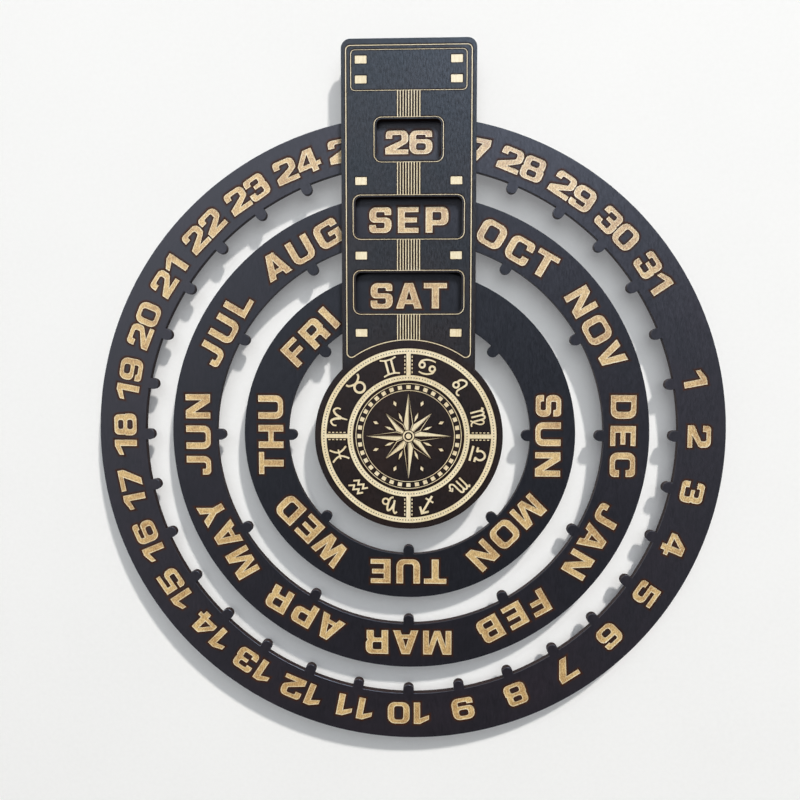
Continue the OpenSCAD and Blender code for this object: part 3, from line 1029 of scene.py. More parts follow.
@dataclass(frozen=True)
class PairedFinish:
    """Two finishes in one material, such as a board's cut edges and its faces."""

    name: str
    first: Finish
    second: Finish
    blend: Blend

    def material(self) -> bpy.types.Material:
        """Makes the material of both finishes.

        Returns:
            The new material.
        """
        material, pen = new_material(self.name)
        share = self.blend.share(pen)
        mixed = [pen.mix(share, a, b) for a, b in zip(self.first.surface(pen), self.second.surface(pen))]
        gloss = pen.span(share, 0.0, 1.0, self.first.specular, self.second.specular)
        principled(pen, self.second, Surface(*mixed), gloss)
        return material


def burnt(place: str, burn: Finish, paint: Finish) -> PairedFinish:
    """Gives a paint that is burnt near the engravings of a piece."""
    return PairedFinish(f"burnt_paint_on_{place}", burn, paint, Blend.BURN_TO_PAINT)


PAINT = Finish(
    "black_paint_on_ply", srgb(16, 9, 5), srgb(31, 18, 10), Pattern.GRAIN,
    feature=0.8, roughness=(0.3, 0.48), bump=0.4, specular=0.33, blotch=0.55, along=0.28, softness=0.16,
    sheen_tint=(0.71, 0.87, 1.0, 1.0))
# The rings' copies of one black paint step from a lighter, glossier one on the date ring, a painted sheen, to
# a darker one on the weekday ring, painted shade; the month ring's lies between.
LIT_DATE_PAINT = replace(
    PAINT, name="black_paint_on_date_ring", dark=srgb(15, 10, 13), light=srgb(29, 20, 25),
    roughness=(0.35, 0.45), bump=0.3, specular=0.4, softness=0.2, sheen_tint=(0.87, 0.915, 1.0, 1.0))
MONTH_PAINT = replace(
    LIT_DATE_PAINT, name="black_paint_on_month_ring", dark=srgb(12, 9, 12), light=srgb(24, 18, 23), specular=0.33)
SHADED_WEEKDAY_PAINT = replace(
    LIT_DATE_PAINT, name="black_paint_on_weekday_ring", dark=srgb(7, 5, 8), light=srgb(16, 13, 17), specular=0.3)
BURN = replace(LIT_DATE_PAINT, name="burnt_paint", dark=srgb(44, 23, 10), light=srgb(80, 47, 25), specular=0.05)
PLATE_BURN = replace(
    PAINT, name="burnt_plate_paint", dark=srgb(26, 14, 7), light=srgb(50, 29, 16), specular=0.03)
PLATE_FACE = burnt("plate", PLATE_BURN, PAINT)
DATE_FACE = burnt("date_ring", BURN, LIT_DATE_PAINT)
MONTH_FACE = burnt("month_ring", BURN, MONTH_PAINT)
WEEKDAY_FACE = burnt("weekday_ring", BURN, SHADED_WEEKDAY_PAINT)
LABEL_FLOOR = Finish(
    "engraved_label_floor", srgb(154, 108, 48), srgb(226, 193, 126), Pattern.GRAIN,
    feature=0.42, roughness=(0.38, 0.54), bump=0.5, specular=0.95, along=0.5, softness=0.085)
LABEL_RIM = replace(
    LABEL_FLOOR, name="engraved_label_rim", dark=srgb(228, 204, 152), light=srgb(252, 243, 214), softness=0.1)
LABEL_WOOD = PairedFinish("engraved_label_wood", LABEL_FLOOR, LABEL_RIM, Blend.FLOOR_TO_RIM)
PLATE_WOOD = Finish(
    "engraved_plate_wood", srgb(220, 197, 146), srgb(248, 235, 200), Pattern.GRAIN,
    feature=0.6, roughness=(0.5, 0.68), bump=0.4, specular=0.6, along=0.12, softness=0.14)
SCORCH = Finish(
    "scorched_engraving_wall", srgb(40, 25, 16), srgb(96, 64, 40), Pattern.SPECKS,
    feature=0.5, roughness=(0.75, 0.9), bump=0.3, specular=0.2)
CUT_EDGE = Finish(
    "laser_cut_edge", srgb(19, 12, 11), srgb(48, 29, 25), Pattern.PLIES,
    feature=0.8, roughness=(0.6, 0.8), bump=0.4, specular=0.04)
BARE_PLY = Finish(
    "bare_birch_face", srgb(186, 150, 104), srgb(226, 196, 150), Pattern.GRAIN,
    feature=1.2, roughness=(0.6, 0.75), bump=0.25, specular=0.3)
ZINC = Finish(
    "zinc_plated_steel", srgb(150, 152, 157), srgb(200, 202, 206), Pattern.SPECKS,
    feature=0.4, roughness=(0.28, 0.42), bump=0.15, metallic=1.0)
RUBBER = Finish(
    "soft_foot_rubber", srgb(42, 42, 44), srgb(64, 64, 67), Pattern.SPECKS,
    feature=0.6, roughness=(0.6, 0.78), bump=0.3, specular=0.35)
WALL_PAINT = Finish(
    "wall_paint", srgb(248, 247, 245), srgb(253, 252, 250), Pattern.SPECKS,
    feature=2.5, roughness=(0.8, 0.95), bump=0.1)
BLACK_BOARD = PairedFinish("black_board", CUT_EDGE, PAINT, Blend.EDGE_TO_FACE)
BARE_BOARD = PairedFinish("bare_board", CUT_EDGE, BARE_PLY, Blend.EDGE_TO_FACE)
Materials = dict[Finish | PairedFinish, bpy.types.Material]


def add_piece(name: str, mesh: bpy.types.Mesh, body: str, slot: str, *nodes: str) -> None:
    """Puts a mesh in the scene as a piece of the object.

    Args:
        name: name of the piece.
        mesh: its mesh, in the frame of the model.
        body: CAD body that it moves with.
        slot: the record's material slot, which this function does not use.
        *nodes: CAD nodes that it stands for.
    """
    piece = bpy.data.objects.new(name, mesh)
    bpy.context.scene.collection.objects.link(piece)
    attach(piece, body)
    if nodes:
        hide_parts(*nodes)
    LOG.info("%s rides on %s, %d faces", name, body, len(mesh.polygons))


def dress_sheet(
    mesh: bpy.types.Mesh, paint: PairedFinish, engraving: Finish | PairedFinish, shared: Materials
) -> None:
    """Gives an engraved sheet its materials, in the order of SheetMaterial."""
    for material in (shared[paint], shared[engraving], shared[SCORCH], shared[CUT_EDGE]):
        mesh.materials.append(material)


@dataclass
class LabelRing:
    """A ring with engraved labels, one over each of its knobs."""

    node: str
    outer_r: float
    width: float
    labels: tuple[str, ...]
    label_r: float
    label_h: float
    stretch: float
    paint: PairedFinish
    spacing: float = 0.0
    rim_w: float = 1.0
    burn_w: float = 1.5
    knob_w: float = 6.0
    knob_h: float = 5.0
    edge_steps: int = 360
    tip_steps: int = 14
    gap_steps: int = 6

    def inner_loop(self) -> Loop:
        """Draws the inner edge with a round-tipped knob under each place.

        Returns:
            The closed edge.
        """
        inner_r = self.outer_r - self.width
        pitch = 360 / len(self.labels)
        half = math.degrees(math.asin(self.knob_w / 2 / inner_r))
        steps = max(self.gap_steps, round(pitch - 2 * half))
        tip = (0.0, inner_r - self.knob_h + self.knob_w / 2)
        tip_arc = arc(tip, self.knob_w / 2, 180, 360, self.tip_steps)
        loop: Loop = []
        for i in range(len(self.labels)):
            place = upright(ORIGIN, i * pitch)
            loop += [clock(inner_r, i * pitch - half), *(place(p) for p in tip_arc)]
            start, end = i * pitch + half, (i + 1) * pitch - half
            loop += [clock(inner_r, start + (end - start) * k / steps) for k in range(steps)]
        return loop

    def figures(self) -> list[Figure]:
        """Draws the labels, clockwise from the top.

        Returns:
            One figure for each letter. A place without a label has none.
        """
        pitch = 360 / len(self.labels)
        figures: list[Figure] = []
        for i, text in enumerate(self.labels):
            if text:
                figures += word(text, self.label_h, self.stretch, self.spacing, self.label_r, i * pitch)
        return figures

    def build(self, shared: Materials) -> None:
        """Makes the ring and puts it on its own body.

        Args:
            shared: the materials, by finish.
        """
        outer, inner = circle(self.outer_r, self.edge_steps), self.inner_loop()
        sheet = EngravedSheet(
            outer, [inner], self.figures(), LAYOUT.ring_back_y, LAYOUT.label_depth, self.rim_w, self.burn_w)
        mesh = sheet.build(f"engraved_{self.node}")
        dress_sheet(mesh, self.paint, LABEL_WOOD, shared)
        add_piece(f"engraved_{self.node}", mesh, self.node, "black_ply", self.node)


@dataclass(frozen=True)
class Window:
    """A window of the tower and the engraved line round it."""

    height: float
    width: float
    opening_h: float = 21.4
    corner_r: float = 2.8
    line_gap: float = 1.2

    def opening(self) -> Loop:
        """Draws the opening."""
        return rectangle(self.width, self.opening_h, self.corner_r, (0.0, self.height))

    def line(self) -> Loop:
        """Draws the middle of the line round the opening."""
        width, height = self.width + 2 * self.line_gap, self.opening_h + 2 * self.line_gap
        return rectangle(width, height, self.corner_r + self.line_gap, (0.0, self.height))


@dataclass(frozen=True)
class CompassRose:
    """A compass rose in a chequered ring: each point has one engraved and one outlined facet.

    Attributes:
        hub_line: how far inside the hub its ring starts and ends.
        diamonds: middle radius, half length and half width of the diamonds between two points.
        ring: radii between which the chequered ring lies.
    """

    long_r: float = 24.3
    short_r: float = 18.4
    shoulder_r: float = 7.2
    points: int = 8
    hub_r: float = 3.6
    hub_line: Point = (0.4, 1.3)
    eye_r: float = 1.5
    diamonds: tuple[Place, ...] = ((11.4, 2.9, 0.75), (19.6, 1.7, 0.95))
    facet_gap: float = 0.17
    line_w: float = 0.42
    ring: Point = (26.2, 28.4)
    ring_lines: Point = (25.4, 29.2)
    blocks: int = 36

    def point(self, tip_r: float, angle: float) -> list[Figure]:
        """Draws one point of the rose.

        Args:
            tip_r: radius of its tip.
            angle: clockwise angle of its tip from the top, in degrees.

        Returns:
            Its full facet and its outlined facet.
        """
        hub, lean = circle(self.hub_r, 40), 180 / self.points
        full, open_ = (
            offset([ORIGIN, clock(tip_r, angle), clock(self.shoulder_r, angle + turn)], -self.facet_gap)
            for turn in (-lean, lean)
        )
        return [Figure((full,), (hub,)), Figure((open_,), (hub, offset(open_, -self.line_w)))]

    def block(self, number: int) -> Figure:
        """Draws one engraved block of the chequered ring.

        Args:
            number: the block's place, clockwise from the top.

        Returns:
            The block.
        """
        start, width = 360 / self.blocks * number, 180 / self.blocks
        turns = [start - width / 2 + width * k / 3 for k in range(4)]
        near, far = self.ring
        return Figure(([clock(near, t) for t in turns] + [clock(far, t) for t in reversed(turns)],))

    def figures(self) -> list[Figure]:
        """Draws points, diamonds, hub and ring.

        Returns:
            All figures of the rose.
        """
        outer, inner = (self.hub_r - inset for inset in self.hub_line)
        figures = [Figure((circle(outer, 40),), (circle(inner, 32),)), Figure((circle(self.eye_r, 24),))]
        figures += [line_figure(circle(r, 120), self.line_w) for r in self.ring_lines]
        figures += [self.block(k) for k in range(self.blocks)]
        pitch = 360 / self.points
        for k in range(self.points):
            figures += self.point(self.short_r if k % 2 else self.long_r, pitch * k)
            place = upright(ORIGIN, pitch * (k + 0.5))
            for middle, long, wide in self.diamonds:
                diamond = [(0.0, middle - long), (wide, middle), (0.0, middle + long), (-wide, middle)]
                figures.append(Figure(([place(p) for p in diamond],)))
        return figures


@dataclass
class FrontPlate:
    """Tower and disc in one engraved plate.

    Attributes:
        tile: width, height and corner radius of the small rectangles on the tower.
        outer_band: radii between which the disc's outer band lies.
        inner_band: the same for the inner band.
        dash: width, height and corner radius of the dashes beside the disc's bars.
    """

    windows: tuple[Window, ...] = (
        Window(height=161.0, width=35.0), Window(height=119.75, width=58.0), Window(height=79.15, width=58.0),
    )
    border_side: float = 33.9
    border_top: float = 210.5
    border_foot_r: float = 53.3
    border_corner_r: float = 2.5
    border_w: float = 0.56
    panel_w: float = 62.4
    panel_foot: float = 186.9
    panel_top: float = 208.2
    panel_corner_r: float = 2.2
    line_w: float = 0.42
    tile: tuple[float, float, float] = (6.3, 4.25, 0.4)
    tile_x: float = 25.8
    tile_heights: tuple[float, ...] = (203.1, 192.7, 139.1, 99.1, 57.1)
    stripes: int = 9
    stripe_pitch: float = 1.5
    stripe_w: float = 0.56
    outer_band: Point = (45.6, 48.6)
    inner_band: Point = (30.9, 33.9)
    bar_w: float = 2.4
    bar_lap: float = 0.5
    dashes: int = 5
    dash: tuple[float, float, float] = (0.68, 1.2, 0.12)
    dash_pitch: float = 2.1
    dash_gap: float = 0.8
    sign_r: float = 39.75
    sign_h: float = 9.6
    sign_trim: float = 0.1
    burn_w: float = 0.7
    # the whole disc's paint is mixed a little towards the burnt finish, browner and less glossy
    smoke_r: float = 52.5
    smoke: float = 0.3
    rose: CompassRose = field(default_factory=CompassRose)

    def outline(self) -> Loop:
        """Draws the outline of tower and disc.

        Returns:
            The closed outline.
        """
        half, top, radius = LAYOUT.tower_w / 2, LAYOUT.tower_top, LAYOUT.tower_corner_r
        joint = math.degrees(math.acos(half / LAYOUT.disc_r))
        side = [(half, LAYOUT.disc_r * math.sin(math.radians(joint)))]
        corners = arc((half - radius, top - radius), radius, 0, 90, 10)
        corners += arc((radius - half, top - radius), radius, 90, 180, 10)
        return side + corners + arc(ORIGIN, LAYOUT.disc_r, 180 - joint, 360 + joint, 200)[:-1]

    def border(self) -> Loop:
        """Draws the middle of the border line, whose foot follows the disc.

        Returns:
            The closed line.
        """
        side, radius = self.border_side, self.border_corner_r
        x, reach = side - radius, self.border_foot_r + radius
        foot = math.sqrt(reach * reach - x * x)
        touch = math.degrees(math.atan2(foot, x))
        line = arc((x, foot), radius, touch - 180, 0, 8)
        line += arc((x, self.border_top - radius), radius, 0, 90, 6)
        line += arc((-x, self.border_top - radius), radius, 90, 180, 6)
        line += arc((-x, foot), radius, 180, 360 - touch, 8)
        return line + arc(ORIGIN, self.border_foot_r, 180 - touch, touch, 40)[1:-1]

    def stripe_figures(self) -> list[Figure]:
        """Draws the upright stripes between panel, windows and border.

        Returns:
            One figure for each stretch of a stripe.
        """
        tops = [self.panel_foot] + [w.height - w.opening_h / 2 - w.line_gap for w in self.windows]
        feet = [w.height + w.opening_h / 2 + w.line_gap for w in self.windows]
        figures: list[Figure] = []
        for i in range(self.stripes):
            x = (i - (self.stripes - 1) / 2) * self.stripe_pitch
            last = math.sqrt(self.border_foot_r**2 - x * x)
            for top, foot in zip(tops, [*feet, last]):
                figures.append(Figure((ribbon([(x, foot), (x, top)], self.stripe_w),)))
        return figures

    def tower_figures(self) -> list[Figure]:
        """Draws border, panel, window lines, tiles and stripes.

        Returns:
            All figures of the tower.
        """
        middle = (0.0, (self.panel_foot + self.panel_top) / 2)
        panel = rectangle(self.panel_w, self.panel_top - self.panel_foot, self.panel_corner_r, middle)
        figures = [line_figure(self.border(), self.border_w), line_figure(panel, self.line_w)]
        figures += [line_figure(w.line(), self.line_w) for w in self.windows]
        for height in self.tile_heights:
            figures += [Figure((rectangle(*self.tile, (x, height)),)) for x in (-self.tile_x, self.tile_x)]
        return figures + self.stripe_figures()

    def dial_figures(self) -> list[Figure]:
        """Draws the bands, bars, dashes and signs of the disc.

        Returns:
            All figures of the disc but its rose.
        """
        bands = (self.outer_band, self.inner_band)
        figures = [Figure((circle(outer, 180),), (circle(inner, 180),)) for inner, outer in bands]
        low, high = self.inner_band[1] - self.bar_lap, self.outer_band[0] + self.bar_lap
        aside = self.bar_w / 2 + self.dash_gap
        for angle in range(0, 360, 90):
            place = upright(ORIGIN, angle)
            figures.append(Figure((ribbon([(0.0, low), (0.0, high)], self.bar_w),)).placed(place))
            for x in (-aside, aside):
                for k in range(self.dashes):
                    height = (low + high) / 2 + (k - (self.dashes - 1) / 2) * self.dash_pitch
                    figures.append(Figure((rectangle(*self.dash, (x, height)),)).placed(place))
        for sign in Sign:
            angle = 360 / len(Sign) * (sign.value + 0.5)
            place = upright(clock(self.sign_r, angle), angle, (self.sign_h, self.sign_h))
            figures += [figure.placed(place).thinned(self.sign_trim) for figure in sign.figures()]
        return figures

    def build(self, shared: Materials) -> None:
        """Makes the plate and puts it on the tower.

        Args:
            shared: the materials, by finish.
        """
        figures = self.tower_figures() + self.dial_figures() + self.rose.figures()
        openings = [window.opening() for window in self.windows]
        sheet = EngravedSheet(
            self.outline(), openings, figures, LAYOUT.front_back_y, LAYOUT.plate_depth,
            burn_w=self.burn_w, smoke_r=self.smoke_r, smoke=self.smoke)
        mesh = sheet.build("engraved_front_plate")
        dress_sheet(mesh, PLATE_FACE, PLATE_WOOD, shared)
        add_piece("engraved_front_plate", mesh, "tower", "black_ply", "front_plate")


class GeometryTree:
    """A geometry node tree with named inputs, made into plain meshes."""

    def __init__(self, name: str) -> None:
        """Starts a tree that takes and gives a geometry.

        Args:
            name: name of the tree.
        """
        self.tree = bpy.data.node_groups.new(name, "GeometryNodeTree")
        self.pen = NodePen(self.tree)
        self.identifiers: dict[str, str] = {}
        self.tree.interface.new_socket("Geometry", in_out="INPUT", socket_type="NodeSocketGeometry")
        self.tree.interface.new_socket("Geometry", in_out="OUTPUT", socket_type="NodeSocketGeometry")
        self.source = self.pen.add("NodeGroupInput")

    def size(self, name: str, kind: str = "NodeSocketFloat") -> Socket:
        """Adds a named input.

        Args:
            name: name of the input.
            kind: Blender's name of its socket type.

        Returns:
            The input's socket inside the tree.
        """
        socket = self.tree.interface.new_socket(name, in_out="INPUT", socket_type=kind)
        self.identifiers[name] = socket.identifier
        return self.source.outputs[name]

    def end(self, geometry: Socket, material: Socket) -> None:
        """Ends the tree in real geometry with a material.

        Args:
            geometry: what the tree has made, which may hold instances.
            material: the material of all of it.
        """
        real = self.pen.out("GeometryNodeRealizeInstances", {0: geometry})
        dressed = self.pen.out("GeometryNodeSetMaterial", {"Geometry": real, "Material": material})
        self.pen.add("NodeGroupOutput", {0: dressed})

    def mesh(self, name: str, points: Sequence[Place], values: dict[str, object]) -> bpy.types.Mesh:
        """Runs the tree on some points and gives the result as a plain mesh.

        Args:
            name: name of the mesh.
            points: points in metres that the tree starts from.
            values: a value for each named input.

        Returns:
            The mesh that the tree makes.
        """
        seed = bpy.data.meshes.new(f"{name}_points")
        seed.from_pydata(list(points), [], [])
        carrier = bpy.data.objects.new(f"{name}_carrier", seed)
        bpy.context.scene.collection.objects.link(carrier)
        modifier = carrier.modifiers.new("tree", "NODES")
        modifier.node_group = self.tree
        for key, value in values.items():
            modifier[self.identifiers[key]] = value
        evaluated = carrier.evaluated_get(bpy.context.evaluated_depsgraph_get())
        mesh = bpy.data.meshes.new_from_object(evaluated)
        mesh.name = name
        carrier.modifiers.clear()
        bpy.data.objects.remove(carrier)
        return mesh


class BeadTree(GeometryTree):
    """Small round islands at even steps along a circle round the axis of the rings."""

    CIRCLE_STEPS = 256
    BEAD_SIDES = 8

    def __init__(self) -> None:
        """Builds the tree."""
        super().__init__("beads_on_a_circle")
        radius, count = self.size("Circle Radius"), self.size("Count", "NodeSocketInt")
        bead_r, bead_h = self.size("Bead Radius"), self.size("Bead Height")
        place = self.size("Place", "NodeSocketVector")
        material = self.size("Material", "NodeSocketMaterial")
        pen = self.pen
        path = pen.out(
            "GeometryNodeCurvePrimitiveCircle", {"Resolution": self.CIRCLE_STEPS, "Radius": radius})
        spots = pen.out("GeometryNodeCurveToPoints", {"Curve": path, "Count": count}, mode="COUNT")
        bead = pen.out(
            "GeometryNodeMeshCylinder", {"Vertices": self.BEAD_SIDES, "Radius": bead_r, "Depth": bead_h})
        beads = pen.out("GeometryNodeInstanceOnPoints", {"Points": spots, "Instance": bead})
        real = pen.out("GeometryNodeRealizeInstances", {0: beads})
        upright_beads = pen.out(
            "GeometryNodeTransform",
            {"Geometry": real, "Rotation": (math.pi / 2, 0.0, 0.0), "Translation": place})
        self.end(upright_beads, material)


@dataclass
class DiscBeads:
    """The dots that stay black along the middle of the disc's two engraved bands."""

    circles: tuple[tuple[str, float, int], ...] = (
        ("outer_band_dots", 47.1, 192), ("inner_band_dots", 32.4, 132),
    )
    bead_r: float = 0.3
    sunk: float = 0.05

    def build(self, shared: Materials) -> None:
        """Makes both rows of dots.

        Args:
            shared: the materials, by finish.
        """
        tree = BeadTree()
        height = LAYOUT.plate_depth + self.sunk
        middle_y = LAYOUT.front_back_y - LAYOUT.ply + height / 2
        for name, radius, count in self.circles:
            values = {
                "Circle Radius": radius * MM, "Count": count, "Bead Radius": self.bead_r * MM,
                "Bead Height": height * MM, "Place": (0.0, middle_y * MM, LAYOUT.axis_z * MM),
                "Material": shared[PAINT],
            }
            mesh = tree.mesh(name, [(0.0, 0.0, 0.0)], values)
            add_piece(name, mesh, "tower", "black_ply")


class ScrewTree(GeometryTree):
    """Countersunk screws with a cross recess, one on each point, heads towards the wall.

    Head, shank and point lap over each other a little, so that they join into one mesh.
    """

    SIDES = 32
    CORE_SHARE = 0.8
    HEAD_LAP = 0.5 * MM
    TIP_R = 0.15 * MM
    TIP_SHARE = 0.96
    TIP_LAP = 0.2 * MM
    ARM_SHARE = 1.15

    def __init__(self) -> None:
        """Builds the tree."""
        super().__init__("countersunk_screws")
        head_r, shank_r = self.size("Head Radius"), self.size("Shank Radius")
        length, tip = self.size("Length"), self.size("Tip Length")
        recess_w, recess_d = self.size("Recess Width"), self.size("Recess Depth")
        seed = self.size("Seed", "NodeSocketInt")
        material = self.size("Material", "NodeSocketMaterial")
        pen = self.pen
        core_r = pen.math("MULTIPLY", shank_r, self.CORE_SHARE)
        straight_l = pen.math("SUBTRACT", length, tip)
        head = self.cone(head_r, core_r, pen.math("SUBTRACT", head_r, core_r))
        shank_l = pen.math("SUBTRACT", straight_l, self.HEAD_LAP)
        sizes = {"Vertices": self.SIDES, "Radius": shank_r, "Depth": shank_l}
        rod = pen.out("GeometryNodeMeshCylinder", sizes)
        shank = self.lifted(rod, pen.math("ADD", pen.math("MULTIPLY", shank_l, 0.5), self.HEAD_LAP))
        tip_base_r = pen.math("MULTIPLY", shank_r, self.TIP_SHARE)
        point = self.lifted(
            self.cone(tip_base_r, self.TIP_R, pen.math("ADD", tip, self.TIP_LAP)),
            pen.math("SUBTRACT", straight_l, self.TIP_LAP),
        )
        blank = self.boolean("UNION", None, head, shank, point)
        arm = pen.math("MULTIPLY", head_r, self.ARM_SHARE)
        deep = pen.math("MULTIPLY", recess_d, 2.0)
        bars: list[Socket] = []
        for x, y in ((arm, recess_w), (recess_w, arm)):
            size = pen.out("ShaderNodeCombineXYZ", {0: x, 1: y, 2: deep})
            bars.append(pen.out("GeometryNodeMeshCube", {"Size": size}))
        screw = self.boolean("DIFFERENCE", blank, *bars)
        spin = pen.add(
            "FunctionNodeRandomValue", {2: 0.0, 3: math.tau, "Seed": seed}, data_type="FLOAT"
        ).outputs[1]
        turn = pen.out("ShaderNodeCombineXYZ", {0: math.pi / 2, 1: spin})
        placed = pen.out(
            "GeometryNodeInstanceOnPoints",
            {"Points": self.source.outputs["Geometry"], "Instance": screw, "Rotation": turn})
        self.end(placed, material)

    def cone(self, base_r: object, top_r: object, height: Socket) -> Socket:
        """Makes a blunt cone that stands on its base."""
        sizes = {"Vertices": self.SIDES, "Radius Top": top_r, "Radius Bottom": base_r, "Depth": height}
        return self.pen.out("GeometryNodeMeshCone", sizes)

    def lifted(self, mesh: Socket, height: Socket) -> Socket:
        """Moves a mesh up the screw's axis."""
        shift = self.pen.out("ShaderNodeCombineXYZ", {2: height})
        return self.pen.out("GeometryNodeTransform", {"Geometry": mesh, "Translation": shift})

    def boolean(self, operation: str, first: Socket | None, *others: Socket) -> Socket:
        """Joins meshes, or cuts them out of the first.

        Args:
            operation: UNION or DIFFERENCE.
            first: mesh to cut, for DIFFERENCE.
            *others: meshes to join or to cut away.

        Returns:
            The result.
        """
        node = self.pen.add("GeometryNodeMeshBoolean", operation=operation, solver="EXACT")
        if first is not None:
            self.tree.links.new(first, node.inputs[0])
        for mesh in others:
            self.tree.links.new(mesh, node.inputs[1])
        return node.outputs[0]


@dataclass
class Screws:
    """The screws that hold the plates together, driven in from the back."""

    groups: dict[str, tuple[Point, ...]] = field(default_factory=lambda: {
        "top_screws": ((-26.5, 180.31), (26.5, 180.31), (-26.5, 204.0), (26.5, 204.0)),
        "date_saddle_screws": Screws.pair(139.225),
        "month_saddle_screws": Screws.pair(98.475),
        "weekday_saddle_screws": Screws.pair(58.025),
        "disc_screws": tuple(clock(30.05, angle) for angle in (0, 120, 240)),
    })
    head_r: float = 2.9
    shank_r: float = 1.5
    length: float = 11.6
    tip: float = 1.6
    recess_w: float = 0.85
    recess_d: float = 1.1
    first_seed: int = 11

    @staticmethod
    def pair(radius: float, x: float = 22.0) -> tuple[Point, ...]:
        """Gives the two screws of a saddle whose middle line has this radius."""
        height = math.sqrt(radius * radius - x * x)
        return (-x, height), (x, height)

    def build(self, shared: Materials) -> None:
        """Makes one piece for each group of screws.

        Args:
            shared: the materials, by finish.
        """
        tree = ScrewTree()
        sizes = {
            "Head Radius": self.head_r * MM, "Shank Radius": self.shank_r * MM, "Length": self.length * MM,
            "Tip Length": self.tip * MM, "Recess Width": self.recess_w * MM,
            "Recess Depth": self.recess_d * MM, "Material": shared[ZINC],
        }
        for seed, (node, places) in enumerate(self.groups.items(), self.first_seed):
            points = [(x * MM, 0.0, (h + LAYOUT.axis_z) * MM) for x, h in places]
            mesh = tree.mesh(f"crosshead_{node}", points, {**sizes, "Seed": seed})
            add_piece(f"crosshead_{node}", mesh, "tower", "zinc_steel", node)


@dataclass
class Bumpers:
    """Soft feet between the back plate and the wall, with rounded rims."""

    nodes: tuple[str, ...] = ("top_left_bumper", "top_right_bumper", "disc_left_bumper", "disc_right_bumper")
    profile: tuple[Point, ...] = (
        (5.3, 0.0), (5.5, 0.12), (5.48, 0.5), (4.72, 4.1), (4.55, 4.6), (4.2, 4.9), (3.8, 5.0), (2.2, 5.0),
        (1.9, 4.9), (1.6, 4.8),
    )
    steps: int = 48

    def mesh(self, name: str, middle: Point) -> bpy.types.Mesh:
        """Turns the profile round the foot's axis.

        Args:
            name: name of the mesh.
            middle: x and z of the axis, in metres.

        Returns:
            A closed mesh.
        """
        vertices: list[Place] = []
        for radius, y in self.profile:
            for x, z in circle(radius, self.steps):
                vertices.append((middle[0] + x * MM, y * MM, middle[1] + z * MM))
        faces: list[list[int]] = []
        for row in range(len(self.profile) - 1):
            for k in range(self.steps):
                a, b = row * self.steps + k, row * self.steps + (k + 1) % self.steps
                faces.append([a, a + self.steps, b + self.steps, b])
        faces.append(list(range(self.steps)))
        top = (len(self.profile) - 1) * self.steps
        faces.append(list(reversed(range(top, top + self.steps))))
        mesh = bpy.data.meshes.new(name)
        mesh.from_pydata(vertices, [], faces)
        mesh.polygons.foreach_set("use_smooth", [True] * len(faces))
        mesh.set_sharp_from_angle(angle=FOOT_CREASE)
        return mesh

    def build(self, shared: Materials) -> None:
        """Makes the four feet.

        Args:
            shared: the materials, by finish.
        """
        for node in self.nodes:
            low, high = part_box(node)
            mesh = self.mesh(f"soft_{node}", ((low.x + high.x) / 2, (low.z + high.z) / 2))
            mesh.materials.append(shared[RUBBER])
            add_piece(f"soft_{node}", mesh, "tower", "rubber", node)


@dataclass
class HiddenBoards:
    """The plain boards behind the front plate, which keep their CAD shapes."""

    black: tuple[str, ...] = ("back_plate",)
    bare: tuple[str, ...] = ("top_spacer", "date_saddle", "month_saddle", "weekday_saddle", "disc_spacer")

    def dress(self, nodes: dict[str, bpy.types.Object], shared: Materials) -> None:
        """Gives each board its material.

        Args:
            nodes: the CAD nodes by name.
            shared: the materials, by finish.
        """
        for names, finish in ((self.black, BLACK_BOARD), (self.bare, BARE_BOARD)):
            for name in names:
                slots = nodes[name].data.materials
                slots.clear()
                slots.append(shared[finish])
                LOG.info("%s is dressed as %s", name, finish.name)


@dataclass(frozen=True)
class Lamp:
    """A round soft lamp, set by the share of a white wall's light that it gives, or would give if matt."""

    name: str
    direction: Place
    distance: float
    size: float
    share: float
    colour: tuple[float, float, float]
    matt: bool = True
    glossy: bool = True

    def build(self) -> None:
        """Hangs the lamp so that it points at the axis of the rings."""
        away = Vector(self.direction).normalized()
        data = bpy.data.lights.new(self.name, "AREA")
        data.shape, data.size, data.color = "DISK", self.size, self.colour
        data.energy = self.share * (math.pi * self.distance) ** 2 / abs(away.y)
        lamp = bpy.data.objects.new(self.name, data)
        lamp.visible_diffuse, lamp.visible_glossy = self.matt, self.glossy
        lamp.location = Vector((0.0, 0.0, LAYOUT.axis_z * MM)) + away * self.distance
        lamp.rotation_euler = away.to_track_quat("Z", "Y").to_euler()
        bpy.context.scene.collection.objects.link(lamp)


